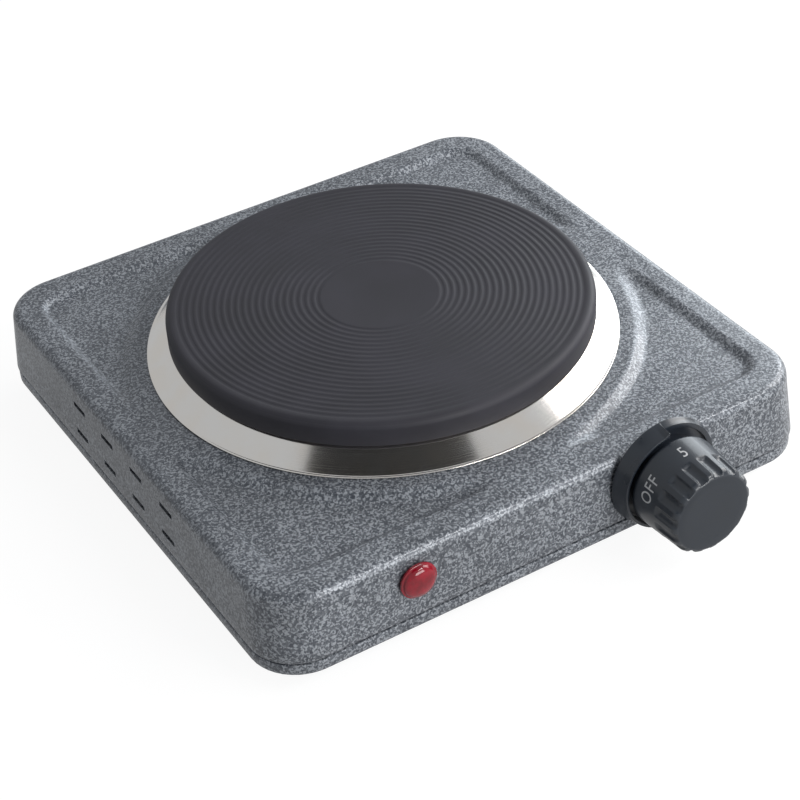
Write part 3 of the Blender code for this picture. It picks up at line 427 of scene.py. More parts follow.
def hammertone_group():
    """Pale worm-like veins on a dark ground, as the enamel curls up when it dries."""
    group, given, sink = new_group("hammertone_veins", {
        "Vector": ("Vector", None), "Cell": ("Float", 0.002), "Vein Share": ("Float", 0.5)},
        {"Vein": "Float", "Cell Tone": "Float", "Height": "Float"})
    scale = maths(group, "DIVIDE", 1.0, given["Cell"])
    curl = noise(group, given["Vector"], scale, 1.0, 0.4, 0.7)
    vary = noise(group, given["Vector"], maths(group, "MULTIPLY", scale, 0.12), 2.0)
    level = maths(group, "SUBTRACT", curl, ramp(group, vary, 0.3, 0.7, 0.02, -0.02))
    above = maths(group, "SUBTRACT", level, given["Vein Share"])
    vein = ramp(group, above, -0.05, 0.085)
    cells = {"Vector": given["Vector"], "Scale": scale, "Randomness": 1.0}
    cell = add_node(group, "ShaderNodeTexVoronoi", cells, feature="F1")
    tone = add_node(group, "ShaderNodeSeparateColor", {0: cell.outputs["Color"]}).outputs[0]
    return put_out(group, sink, Vein=vein, Cell_Tone=tone, Height=curl)


def lathe_group():
    """Fine rings about an upright axis: the marks that a lathe or a polishing wheel leaves."""
    group, given, sink = new_group("lathe_rings", {"Vector": ("Vector", None), "Pitch": ("Float", 0.0004)},
                                   {"Ring": "Float", "Cloud": "Float"})
    flat = add_node(group, "ShaderNodeVectorMath", {0: given["Vector"], 1: (1, 1, 0)}, operation="MULTIPLY")
    radius = add_node(group, "ShaderNodeVectorMath", {0: flat.outputs[0]}, operation="LENGTH")
    steps = maths(group, "DIVIDE", radius.outputs["Value"], given["Pitch"])
    line = add_node(group, "ShaderNodeTexNoise", {"W": steps, "Scale": 1.0, "Detail": 2.0},
                    noise_dimensions="1D")
    return put_out(group, sink, Ring=line.outputs["Fac"], Cloud=noise(group, given["Vector"], 60.0, 3.0))


def grain_group():
    """Fine grain and slow clouds: moulded skins, rubber bloom and plating all use it at their own sizes."""
    group, given, sink = new_group("surface_grain", {"Vector": ("Vector", None), "Grain": ("Float", 0.0003),
                                                     "Cloud": ("Float", 0.02)},
                                   {"Grain": "Float", "Cloud": "Float"})
    fine = noise(group, given["Vector"], maths(group, "DIVIDE", 1.0, given["Grain"]), 2.0)
    slow = noise(group, given["Vector"], maths(group, "DIVIDE", 1.0, given["Cloud"]), 4.0, 0.6)
    return put_out(group, sink, Grain=fine, Cloud=slow)


def new_material(name, **constants):
    """A material with constants on its shader's own sockets, and the Object coordinates for its patterns."""
    material = bpy.data.materials.new(name)
    material.use_nodes = True
    tree = material.node_tree
    shader = tree.nodes["Principled BSDF"]
    for key, value in constants.items():
        shader.inputs[key.replace("_", " ").title().replace("Ior", "IOR")].default_value = value
    place = add_node(tree, "ShaderNodeTexCoord").outputs["Object"]
    return material, tree, shader, place


def centred_on(tree, place, point):
    """The coordinates measured from a point of the frame."""
    return add_node(tree, "ShaderNodeMapping", {"Vector": place, "Location": -point}).outputs[0]


def use_group(tree, name, maker, inputs):
    group = bpy.data.node_groups.get(name) or maker()
    return add_node(tree, "ShaderNodeGroup", inputs, node_tree=group).outputs


def bump(tree, shader, height, strength, distance):
    made = add_node(tree, "ShaderNodeBump", {"Height": height, "Strength": strength, "Distance": distance})
    tree.links.new(made.outputs["Normal"], shader.inputs["Normal"])


# Finishes

def hammertone():
    found = bpy.data.materials.get("hammertone_enamel")
    if found:
        return found
    finish = settings()[3]
    material, tree, shader, place = new_material("hammertone_enamel", metallic=0.3, coat_weight=0.45,
                                                 coat_roughness=0.13)
    veins = use_group(tree, "hammertone_veins", hammertone_group,
                      {"Vector": place, "Cell": finish.enamel_cell, "Vein Share": 0.522})
    fine = use_group(tree, "surface_grain", grain_group, {"Vector": place, "Grain": 0.0004, "Cloud": 0.03})
    tone = ramp(tree, veins["Cell Tone"], 0.0, 1.0, 0.0, 0.22)
    ground = blend_colours(tree, tone, tuple(finish.enamel_ground), tuple(finish.enamel_vein))
    speck = ramp(tree, fine["Grain"], 0.36, 0.62, 0.6, 1.0)
    vein = maths(tree, "MULTIPLY", veins["Vein"], speck)
    colours = blend_colours(tree, vein, ground, tuple(finish.enamel_vein))
    cloud = ramp(tree, fine["Cloud"], 0.3, 0.7, 0.86, 1.08)
    toned = add_node(tree, "ShaderNodeVectorMath", {0: colours, "Scale": cloud}, operation="SCALE").outputs[0]
    tree.links.new(toned, shader.inputs["Base Color"])
    tree.links.new(ramp(tree, veins["Vein"], 0.0, 1.0, 0.42, 0.5), shader.inputs["Roughness"])
    bump(tree, shader, veins["Height"], 0.35, 0.0005)
    return material


def cast_iron():
    finish = settings()[3]
    material, tree, shader, place = new_material("coated_cast_iron", metallic=0.0, specular_ior_level=0.4)
    centre = centred_on(tree, place, PLATE_MIDDLE)
    rings = use_group(tree, "lathe_rings", lathe_group, {"Vector": centre, "Pitch": 0.00035})
    skin = use_group(tree, "surface_grain", grain_group, {"Vector": place, "Grain": 0.00035, "Cloud": 0.035})
    iron = finish.iron
    base = blend_colours(tree, ramp(tree, skin["Cloud"], 0.32, 0.7), shade(iron, 0.82), shade(iron, 1.25))
    marked = blend_colours(tree, ramp(tree, rings["Ring"], 0.35, 0.75, 0.0, 0.25), base, shade(iron, 1.6))
    tree.links.new(marked, shader.inputs["Base Color"])
    tree.links.new(ramp(tree, skin["Cloud"], 0.3, 0.7, 0.52, 0.64), shader.inputs["Roughness"])
    height = maths(tree, "ADD", maths(tree, "MULTIPLY", rings["Ring"], 0.5), skin["Grain"])
    bump(tree, shader, height, 0.2, 0.00008)
    return material


def polished_steel():
    finish = settings()[3]
    material, tree, shader, place = new_material("polished_stainless", metallic=1.0)
    centre = centred_on(tree, place, PLATE_MIDDLE)
    rings = use_group(tree, "lathe_rings", lathe_group, {"Vector": centre, "Pitch": 0.00025})
    tint = tuple(finish.steel)
    warm = (tint[0], tint[1] * 0.97, tint[2] * 0.93)
    base = blend_colours(tree, ramp(tree, rings["Cloud"], 0.3, 0.7), tint, warm)
    tree.links.new(base, shader.inputs["Base Color"])
    tree.links.new(ramp(tree, rings["Ring"], 0.3, 0.7, 0.09, 0.17), shader.inputs["Roughness"])
    bump(tree, shader, rings["Ring"], 0.06, 0.00003)
    return material


def grained(name, tint, rough, dark=None, grain=0.0005, cloud=0.012, spread=0.2, relief=None, specks=0.0,
            **constants):
    """A finish whose tone and gloss drift in slow clouds, with fine grain for its relief and specks."""
    found = bpy.data.materials.get(name)
    if found:
        return found
    material, tree, shader, place = new_material(name, **constants)
    skin = use_group(tree, "surface_grain", grain_group, {"Vector": place, "Grain": grain, "Cloud": cloud})
    base = blend_colours(tree, ramp(tree, skin["Cloud"], 0.3, 0.7), dark or shade(tint, 0.85), tint)
    if specks:
        dots = maths(tree, "MULTIPLY", ramp(tree, skin["Grain"], 0.66, 0.74), specks)
        base = blend_colours(tree, dots, base, shade(tint, 0.4))
    tree.links.new(base, shader.inputs["Base Color"])
    gloss = ramp(tree, skin["Cloud"], 0.5 - spread, 0.5 + spread, *rough)
    tree.links.new(gloss, shader.inputs["Roughness"])
    if relief:
        bump(tree, shader, skin["Grain"], *relief)
    return material


def moulded_plastic(name, tint, gloss, grain=0.0005, coat=0.0, relief=0.00002):
    return grained(name, tint, (gloss * 0.85, gloss * 1.2), grain=grain, spread=0.25, relief=(0.2, relief),
                   coat_weight=coat, coat_roughness=0.08)


def red_lens():
    tint = tuple(settings()[3].lens)
    return grained("lens_red", tint, (0.06, 0.12), shade(tint, 0.55), 0.0008, 0.006, ior=1.49,
                   transmission_weight=0.2, coat_weight=0.25, coat_roughness=0.04)


def plated(name, tint, gloss, metallic=1.0):
    """Zinc, brass and oxidised metals of the inner parts."""
    return grained(name, tint, (gloss, gloss + 0.18), shade(tint, 0.72), 0.0006, 0.008,
                   relief=(0.12, 0.00004), metallic=metallic)


def fired_clay(name, tint, roughness):
    return grained(name, tint, (roughness, roughness + 0.1), grain=0.0004, cloud=0.01, relief=(0.4, 0.00006),
                   specks=0.5)


def bulb_glass():
    return grained("bulb_glass", (1.0, 0.98, 0.95), (0.02, 0.06), (0.95, 0.9, 0.86), 0.001, 0.004, ior=1.45,
                   transmission_weight=1.0)


def rubber():
    return moulded_plastic("black_rubber", (0.018, 0.018, 0.019), 0.72, 0.0004, relief=0.00008)


def zinc():
    return plated("zinc_plate", tuple(settings()[3].zinc), 0.3)


# Housing

def rounded_rectangle(u, half_x, half_y, radius):
    """The point at share u of the outline, counted from the middle of the right side."""
    straight_y, arc, straight_x = half_y - radius, radius * math.pi / 2, half_x - radius
    quarter = straight_y + arc + straight_x
    turn, along = divmod(u * 4, 1.0)
    if turn % 2 == 1:
        along = 1.0 - along
    along *= quarter
    if along < straight_y:
        x, y = half_x, along
    elif along < straight_y + arc:
        angle = (along - straight_y) / radius
        x, y = half_x - radius + radius * math.cos(angle), half_y - radius + radius * math.sin(angle)
    else:
        x, y = half_x - radius - (along - straight_y - arc), half_y
    return Vector((x if turn in (0, 3) else -x, y if turn < 2 else -y, 0))


def smooth_least(values, power=24):
    return sum(value ** -power for value in values) ** (-1 / power)


def on_level(place, centre, z):
    return centre + place + Vector((0, 0, z))


def eased(value):
    value = min(max(value, 0.0), 1.0)
    return value * value * (3 - 2 * value)


def field_depth(housing, x, y):
    """How far the top is sunk at a place, by its distance inside the nearest field's outline."""
    y -= SHELL_MIDDLE.y
    corner = housing.field_corner
    over_x, over_y = abs(x) - housing.field_x + corner, abs(y) - housing.field_y + corner
    outside = math.hypot(max(over_x, 0), max(over_y, 0)) + min(max(over_x, over_y), 0) - corner
    from_sides = eased(0.5 - outside / housing.side_ramp)
    from_plate = math.hypot(x, y + SHELL_MIDDLE.y - PLATE_MIDDLE.y) - housing.field_arc
    from_arc = eased(0.5 + from_plate / housing.field_ramp)
    from_tip = eased((min(abs(x), abs(y)) - housing.field_tip) / housing.field_fade)
    return housing.field_depth * from_sides * from_arc * from_tip


def housing_rows(housing):
    """The shell's rings, each a function of u: up the wall, over the edge, inwards and up the collar."""
    shoulder = SHELL_TOP - housing.edge_fillet
    rows = []

    def rectangle(inset, radius, z):
        half_x, half_y = HALF_X - inset, HALF_Y - inset
        return lambda u: on_level(rounded_rectangle(u, half_x, half_y, radius), SHELL_MIDDLE, z)

    low = SHELL_LOW + housing.seam
    rows.append(rectangle(0.42 * MM, housing.low_corner, low))
    rows.append(rectangle(0.12 * MM, housing.low_corner, low + 0.2 * MM))
    for step in range(7):
        share = step / 6
        radius = housing.low_corner + (housing.top_corner - housing.low_corner) * share
        rows.append(rectangle(housing.draft * share, radius,
                              low + 0.6 * MM + (shoulder - low - 0.6 * MM) * share))
    for step in range(1, 9):
        angle = math.pi / 2 * step / 8
        back = housing.edge_fillet * (1 - math.cos(angle))
        rows.append(rectangle(housing.draft + back, housing.top_corner - back,
                              shoulder + housing.edge_fillet * math.sin(angle)))
    edge = housing.draft + housing.edge_fillet
    edge_corner = housing.top_corner - housing.edge_fillet
    widest = housing.field_arc + housing.field_ramp / 2 + 0.5 * MM
    band = 16.5 * MM  # parallel to the walls, and then a span that turns round
    ramp_band = 8.5 * MM  # parallel to the arcs round the plate

    def inset_point(u, inset):
        return SHELL_MIDDLE + rounded_rectangle(u, HALF_X - edge - inset, HALF_Y - edge - inset,
                                                max(edge_corner - inset, 4 * MM))

    def round_point(u, inset):
        """Rings that follow the arcs at the corners and keep inside the straight sides between them."""
        angle = 2 * math.pi * u
        free_x = HALF_X - edge - band - 1.0 * MM
        free_y = HALF_Y - edge - band - 1.0 * MM - (PLATE_MIDDLE.y - SHELL_MIDDLE.y)
        limits = [1.0, free_x / widest / max(abs(math.cos(angle)), 0.05),
                  free_y / widest / max(abs(math.sin(angle)), 0.05)]
        radius = widest * smooth_least(limits) - inset
        return PLATE_MIDDLE + Vector((radius * math.cos(angle), radius * math.sin(angle), 0))

    def on_top(place):
        return Vector((place.x, place.y, SHELL_TOP - field_depth(housing, place.x, place.y)))

    for step in range(1, 25):
        rows.append(lambda u, inset=band * step / 24: on_top(inset_point(u, inset)))
    for step in range(1, 9):
        rows.append(lambda u, share=step / 9: on_top(inset_point(u, band).lerp(round_point(u, 0), share)))
    for step in range(13):
        rows.append(lambda u, inset=ramp_band * step / 12: on_top(round_point(u, inset)))
    bend = 1.2 * MM

    def circle(u, radius, z):
        angle = 2 * math.pi * u
        return PLATE_MIDDLE + Vector((radius * math.cos(angle), radius * math.sin(angle), z))

    for step in range(1, 5):
        rows.append(lambda u, share=step / 4: Vector((0, 0, SHELL_TOP)) +
                    round_point(u, ramp_band).lerp(circle(u, COLLAR + bend, 0), share))
    for step in range(1, 4):
        angle = math.pi / 2 * step / 3
        rows.append(lambda u, radius=COLLAR + bend * (1 - math.sin(angle)),
                    z=SHELL_TOP + bend * (1 - math.cos(angle)): circle(u, radius, z))
    rows.append(lambda u: circle(u, COLLAR, SHELL_BOX[1].z))
    return rows


class BURNER_OT_housing(bpy.types.Operator):
    """Press the housing shell: walls, rolled edge, sunk fields, collar and side slots"""

    bl_idname = "burner.housing"
    bl_label = "Housing"

    def execute(self, context):
        housing = settings()[0]
        rows = housing_rows(housing)
        shell = wrapped("housing_skin", 448, len(rows), lambda u, row: rows[row](u))
        tidy(shell)
        wall = shell.modifiers.new("sheet", "SOLIDIFY")
        wall.thickness = housing.sheet
        wall.offset = -1.0
        wall.use_even_offset = True
        apply_modifiers(shell)
        cutters = [cutter_rod(SHAFT_HOLE, -6 * MM, 4 * MM, KNOB_AXIS, True),
                   cutter_rod(6.3 * MM, -6 * MM, 4 * MM, LAMP_AXIS, True),
                   cutter_rod(6.5 * MM, -4 * MM, 6 * MM, INLET_AXIS, True)]
        for height in (housing.vent_low, housing.vent_high):
            for slot in range(housing.vents):
                y = SHELL_MIDDLE.y + (slot - (housing.vents - 1) / 2) * housing.vent_pitch
                z = PAN_BOX[0].z + height
                half = Vector((2 * HALF_X, housing.vent_length / 2, housing.vent_height / 2))
                cutters.append(cutter_box(Vector((0, y, z)) - half, Vector((0, y, z)) + half))
        cut(shell, cutters)
        tidy(shell, 32)
        finish_piece(shell, FIXED, "hammertone", hammertone(), "housing_shell")
        return {"FINISHED"}


class BURNER_OT_base_pan(bpy.types.Operator):
    """Press the base pan with its outer lip, slots and screw holes"""

    bl_idname = "burner.base_pan"
    bl_label = "Base pan"

    def execute(self, context):
        housing = settings()[0]
        low, high = PAN_BOX
        lip = SHELL_LOW - GAP
        sheet = housing.sheet
        inset = housing.pan_inset
        spigot = sheet + GAP + housing.draft * 0.14
        section = [(inset + 1.0 * MM, low.z), (inset + 0.3 * MM, low.z + 0.3 * MM), (inset, low.z + 1.0 * MM),
                   (inset, lip - 0.8 * MM), (inset + 0.2 * MM, lip - 0.3 * MM), (inset + 0.7 * MM, lip),
                   (spigot, lip), (spigot, high.z), (spigot + sheet, high.z),
                   (spigot + sheet, lip - 0.4 * MM),
                   (inset + sheet, lip - sheet), (inset + sheet, low.z + sheet)]

        def shape(u, row):
            step_in, z = section[row]
            corner = housing.low_corner + MM - step_in
            outline = rounded_rectangle(u, HALF_X - step_in, HALF_Y - step_in, corner)
            return on_level(outline, SHELL_MIDDLE, z)

        pan = fill_ends(wrapped("base_pan_skin", 320, len(section), shape))
        tidy(pan)
        cutters = []
        through = low.z + 3 * MM
        for row in (-1, 0, 1):
            for slot in range(5):
                x, y = (slot - 2) * 18 * MM, SHELL_MIDDLE.y + row * 40 * MM
                cutters.append(cutter_box((x - 2 * MM, y - 13 * MM, 0), (x + 2 * MM, y + 13 * MM, through)))
        holes = [middle(foot) for foot in FEET] + [middle("earth_screw"), middle("mains_terminal_screw")]
        for hole in holes:
            cutters.append(cutter_rod(2.2 * MM, 0, through, (hole.x, hole.y, 0)))
        cut(pan, cutters)
        tidy(pan)
        finish_piece(pan, FIXED, "hammertone", hammertone(), "base_pan")
        return {"FINISHED"}


# Plate and ring

class BURNER_OT_plate(bpy.types.Operator):
    """Turn the cast-iron plate with its ring grooves, rounded edge and hollow underside"""

    bl_idname = "burner.plate"
    bl_label = "Plate"

    def execute(self, context):
        plate = settings()[1]
        top, low = PLATE_TOP, PLATE_BOX[0].z
        cover_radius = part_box("plate_cover")[1].x
        skirt = cover_radius + 0.5 * MM
        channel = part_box("element_insulation")[1].x + GAP
        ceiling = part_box("element_insulation")[1].z + GAP
        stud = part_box("plate_stud")[1].x + GAP
        profile = [(0, top - 0.1 * MM), (plate.flat - 2.0 * MM, top - 0.1 * MM)]
        half = plate.groove_width / 2
        slope = [(half + 0.15 * MM, 0), (half, 0.06 * MM), (half * 0.45, plate.groove_depth)]
        groove = [(-out, down) for out, down in slope] + slope[::-1]
        for index in range(plate.grooves):
            radius = plate.flat + index * plate.groove_pitch
            profile += [(radius + out, top - down) for out, down in groove]
        fillet = plate.fillet
        profile += bow((PLATE_RADIUS - fillet, top - fillet), (fillet, fillet), 0, 8)
        profile += [(PLATE_RADIUS, PLATE_RIM + 0.8 * MM), (PLATE_RADIUS - 0.25 * MM, PLATE_RIM + 0.25 * MM),
                    (PLATE_RADIUS - 0.8 * MM, PLATE_RIM), (skirt, PLATE_RIM), (skirt, low),
                    (channel, low), (channel, ceiling), (16.5 * MM, ceiling),
                    (16.5 * MM, low), (stud, low), (stud, ceiling), (0, ceiling)]
        piece = turned("plate_casting", profile, 256, PLATE_MIDDLE, smooth_angle=28)
        finish_piece(piece, FIXED, "cast_iron", cast_iron(), "hot_plate")
        return {"FINISHED"}


class BURNER_OT_ring(bpy.types.Operator):
    """Turn the polished trim ring with its rolled outer lip"""

    bl_idname = "burner.ring"
    bl_label = "Trim ring"

    def execute(self, context):
        plate = settings()[1]
        low, high = RING_BOX
        sheet = plate.ring_sheet
        seat = RING_BORE + plate.ring_seat
        outer = high.x
        foot = low.z + sheet
        upper, under = [(RING_BORE, high.z)], []
        for share in (0.0, 0.35, 0.7, 1.0):
            angle = math.radians(36) * share
            out, drop = math.sin(angle), 1 - math.cos(angle)
            upper.append((seat - 1.2 * MM + 2.0 * MM * out, high.z - 2.0 * MM * drop))
            under.append((seat - 1.5 * MM + 1.6 * MM * out, high.z - sheet - 1.6 * MM * drop))
        for share in (1.0, 0.6, 0.25, 0.0):
            angle = math.radians(36) * share
            back, rise, lip = math.sin(angle), 1 - math.cos(angle), outer - plate.ring_lip
            upper.append((lip - 1.0 * MM * back + 0.2 * MM, foot + 1.0 * MM * rise))
            under.append((lip - 1.4 * MM * back + 0.1 * MM, low.z + 1.4 * MM * rise))
        edge = [(outer - 0.2 * MM, foot), (outer - 0.05 * MM, foot - 0.1 * MM), (outer, foot - sheet / 2),
               (outer - 0.05 * MM, low.z + 0.1 * MM), (outer - 0.2 * MM, low.z)]
        profile = upper + edge + under[::-1] + [(RING_BORE, high.z - sheet)]
        piece = turned("trim_ring_polished", profile, 256, PLATE_MIDDLE, smooth_angle=50)
        finish_piece(piece, FIXED, "stainless", polished_steel(), "trim_ring")
        return {"FINISHED"}


# Knob

class BURNER_OT_knob(bpy.types.Operator):
    """Mould the control knob with its finger grooves"""

    bl_idname = "burner.knob"
    bl_label = "Knob"

    def execute(self, context):
        knob = settings()[2]
        finish = settings()[3]
        low, high = KNOB_BOX
        radius = (high.x - low.x) / 2
        front, back = FRONT - low.y, FRONT - high.y
        nose = front - knob.shoulder
        cavity, roof = radius - 2.6 * MM, front - 3.5 * MM
        bore, reach = 3.3 * MM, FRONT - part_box("thermostat_shaft")[0].y + GAP
        profile = [(0, front)]
        for share in (0.45, 0.8, 1.0):
            profile.append((knob.cap * share - 0.3 * MM, front))
        profile.append((knob.cap, front - 0.08 * MM))
        for step in range(1, 7):
            angle = math.pi / 2 * step / 6
            profile.append((knob.cap + (knob.nose - knob.cap) * math.sin(angle) ** 1.2,
                            nose + (knob.shoulder - 0.1 * MM) * math.cos(angle) ** 0.9))
        for step in range(1, 29):
            share = step / 28
            widen, deepen = radius - knob.nose, back + 0.5 * MM - nose
            profile.append((knob.nose + widen * share, nose + deepen * share))
        hub, hub_end = 6 * MM, back + 1 * MM
        profile += [(radius - 0.12 * MM, back + 0.14 * MM), (radius - 0.5 * MM, back), (cavity, back),
                    (cavity - 1 * MM, roof), (hub, roof), (hub, hub_end), (bore, hub_end), (bore, reach),
                    (0, reach)]
        piece = turned("knob_moulding", profile, 384, KNOB_AXIS, True, smooth_angle=40)
        for point in piece.data.vertices:
            x, y, z = point.co - KNOB_AXIS
            distance = math.hypot(x, z)
            if distance < cavity + 0.6 * MM and -y < nose or distance < knob.cap - 1.2 * MM:
                continue
            pitch = 2 * math.pi / knob.grips
            turn = (math.atan2(z, x) - math.radians(60)) % pitch
            across = min(turn, pitch - turn) * distance / (knob.grip_width / 2)
            lengthwise = (-y - knob.grip_start) / (1.6 * MM)
            hollow = math.sqrt(max(0.0, 1 - across ** 2)) if across < 1 else 0.0
            hollow *= math.sqrt(max(0.0, 1 - (1 - min(max(lengthwise, 0), 1)) ** 2))
            fade = eased((distance - knob.cap - 0.3 * MM) / (1.9 * MM))
            scale = 1 - knob.grip_depth * hollow * fade / distance
            point.co = KNOB_AXIS + Vector((x * scale, y, z * scale))
        gloss = moulded_plastic("knob_gloss", tuple(finish.plastic), 0.34, coat=0.3)
        satin = moulded_plastic("knob_satin", shade(finish.plastic, 0.85), 0.38, 0.0003, relief=0.00005)
        finish_piece(piece, TURNING, "black_gloss", [gloss, satin], "knob")
        for face in piece.data.polygons:
            centre = face.center - KNOB_AXIS
            if math.hypot(centre.x, centre.z) < knob.cap and -centre.y > front - 0.5 * MM:
                face.material_index = 1
        return {"FINISHED"}


class BURNER_OT_dial_print(bpy.types.Operator):
    """Print OFF and the numbers 1 to 5 round the knob's skirt"""

    bl_idname = "burner.dial_print"
    bl_label = "Dial print"

    def execute(self, context):
        knob = settings()[2]
        finish = settings()[3]
        low, high = KNOB_BOX
        radius = (high.x - low.x) / 2
        back, nose = FRONT - high.y, FRONT - low.y - knob.shoulder
        marks = []
        for index, word in enumerate(("OFF", "1", "2", "3", "4", "5")):
            object_mode()
            bpy.ops.object.text_add(location=(0, 0, 0))
            mark = bpy.context.object
            mark.data.body = word
            mark.data.align_x = "CENTER"
            mark.data.size = knob.letter_height / 0.72
            mark.data.extrude = 0.02
            mark.data.offset = 0.0
            mark.data.space_character = 1.12
            bpy.ops.object.convert(target="MESH")
            mark = bpy.context.object
            heights = [point.co.y for point in mark.data.vertices]
            base, tall = min(heights), max(heights) - min(heights)
            mesh = bmesh.new()
            mesh.from_mesh(mark.data)
            bmesh.ops.remove_doubles(mesh, verts=mesh.verts, dist=1e-7)
            bmesh.ops.triangulate(mesh, faces=mesh.faces)
            wide = max(abs(point.co.x) for point in mesh.verts)
            steps = int(wide / (0.6 * MM)) + 1
            for step in range(-steps, steps + 1):
                bmesh.ops.bisect_plane(mesh, geom=mesh.verts[:] + mesh.edges[:] + mesh.faces[:], dist=1e-8,
                                       plane_co=(step * 0.6 * MM, 0, 0), plane_no=(1, 0, 0))
            angle = math.radians(155 + 60 * index)
            for point in mesh.verts:
                depth = knob.letter_place - ((point.co.y - base) / tall - 0.5) * knob.letter_height
                share = (depth - back) / (nose - back)
                skin = radius + (knob.nose - radius) * share
                out = skin + (0.06 * MM if point.co.z > 0 else -0.12 * MM)
                turn = angle - point.co.x * 0.82 / radius
                point.co = KNOB_AXIS + Vector((out * math.cos(turn), -depth, out * math.sin(turn)))
            mesh.to_mesh(mark.data)
            mesh.free()
            marks.append(mark)
        object_mode()
        for mark in marks:
            mark.select_set(True)
        bpy.context.view_layer.objects.active = marks[0]
        bpy.ops.object.join()
        piece = bpy.context.object
        piece.name = "dial_print"
        tidy(piece, 30)
        ink = moulded_plastic("dial_ink", tuple(finish.print_ink), 0.5, 0.0002)
        finish_piece(piece, TURNING, "black_gloss", ink)
        return {"FINISHED"}


class BURNER_OT_bezel(bpy.types.Operator):
    """Mould the knob's bezel, high on the left and low on the right, with the pointer step between"""

    bl_idname = "burner.bezel"
    bl_label = "Bezel"

    def execute(self, context):
        knob = settings()[2]
        finish = settings()[3]
        low, high = BEZEL_BOX
        outer = (high.x - low.x) / 2
        foot = FRONT - high.y
        rise = knob.bezel_high - foot
        web, hole = foot + 1.5 * MM, SHAFT_HOLE
        boss, bore, rim, crest = knob.bezel_boss, knob.bezel_bore, knob.bezel_rim, knob.bezel_high
        profile = [(hole, foot), (hole, crest), (boss - 0.4 * MM, crest), (boss, crest - 0.4 * MM),
                   (boss, web), (bore - 0.4 * MM, web), (bore, web + 0.4 * MM), (bore, crest - 0.4 * MM),
                   (bore + 0.12 * MM, crest - 0.1 * MM), (bore + 0.4 * MM, crest), (rim - 0.4 * MM, crest),
                   (rim - 0.1 * MM, crest - 0.1 * MM)]
        for step in range(7):
            share = step / 6
            profile.append((rim + (outer - rim) * share ** 1.3, crest - 0.4 * MM - (rise - 0.8 * MM) * share))
        profile += [(outer, foot + 0.2 * MM), (outer - 0.2 * MM, foot)]
        piece = turned("bezel_moulding", profile, 360, KNOB_AXIS, True, smooth_angle=40)
        drop = crest - knob.bezel_low
        for point in piece.data.vertices:
            x, y, z = point.co - KNOB_AXIS
            height, distance = -y, math.hypot(x, z)
            turn = (math.atan2(z, x) - knob.pointer_angle) % (2 * math.pi)
            on_rim = distance > bore + 0.6 * MM
            if turn < knob.tooth_turn and on_rim:
                scale = 1 + knob.tooth * (1 - turn / knob.tooth_turn) * (height - foot) / rise / distance
                point.co = KNOB_AXIS + Vector((x * scale, y, z * scale))
            in_web = height < web + 0.5 * MM and distance < bore + 0.2 * MM
            if turn < math.pi or distance < bore - 0.01 * MM or in_web:
                continue
            share = (height - foot) / rise
            lower = foot + share * (rise - drop)
            widen = (outer - rim) * (drop / rise) * share if on_rim else 0.0
            scale = (distance + widen) / distance
            point.co = KNOB_AXIS + Vector((x * scale, -lower, z * scale))
        tidy(piece, 40)
        plastic = moulded_plastic("bezel_satin", finish.plastic[:], 0.3, coat=0.2)
        finish_piece(piece, FIXED, "black_gloss", plastic, "knob_bezel")
        return {"FINISHED"}


# Lamp, inlet and feet

class BURNER_OT_lamp(bpy.types.Operator):
    """Mould the lamp's red lens with its flange, dome and tube"""

    bl_idname = "burner.lamp"
    bl_label = "Lamp lens"

    def execute(self, context):
        low, high = LENS_BOX
        flange = (high.x - low.x) / 2
        proud, tail = FRONT - low.y, FRONT - high.y
        tube, bore, dome = 6.0 * MM, 5.2 * MM, flange - 1.0 * MM
        rim = GAP + 1.2 * MM
        profile = [(0, proud)] + bow((0, rim), (dome, proud - rim), 1, 10)
        profile += [(dome + 0.15 * MM, rim - 0.25 * MM), (flange - 0.35 * MM, rim - 0.3 * MM),
                    (flange - 0.08 * MM, rim - 0.55 * MM), (flange, GAP), (tube, GAP), (tube, tail),
                    (bore, tail), (bore, rim), (bore - 2.4 * MM, proud - 1.3 * MM), (0, proud - 1.0 * MM)]
        piece = turned("lamp_lens_moulding", profile, 96, LAMP_AXIS, True, smooth_angle=40)
        finish_piece(piece, FIXED, "red_lens", red_lens(), "lamp_lens")
        return {"FINISHED"}


class BURNER_OT_inlet(bpy.types.Operator):
    """Mould the rubber bush of the cord inlet with its flange and barb"""

    bl_idname = "burner.inlet"
    bl_label = "Cord bush"

    def execute(self, context):
        low, high = BUSH_BOX
        flange = (high.x - low.x) / 2
        outside, inside = high.y - BACK, BACK - low.y
        bore, neck, barb = 4.2 * MM, 6.2 * MM, 3.0 * MM - inside
        profile = [(bore + 0.4 * MM, outside), (flange - 1.0 * MM, outside),
                   (flange - 0.3 * MM, outside - 0.3 * MM), (flange, outside - 1.0 * MM), (flange, GAP),
                   (neck, GAP), (neck, barb), (neck + 1.4 * MM, barb), (neck + 1.2 * MM, barb - 0.6 * MM),
                   (neck + 0.5 * MM, -inside), (bore + 0.3 * MM, -inside), (bore, 0.4 * MM - inside),
                   (bore, outside - 0.4 * MM)]
        backwards = [(radius, -reach) for radius, reach in profile]
        piece = turned("cord_bush_moulding", backwards, 96, INLET_AXIS, True)
        finish_piece(piece, FIXED, "rubber", rubber(), "cord_bush")
        return {"FINISHED"}


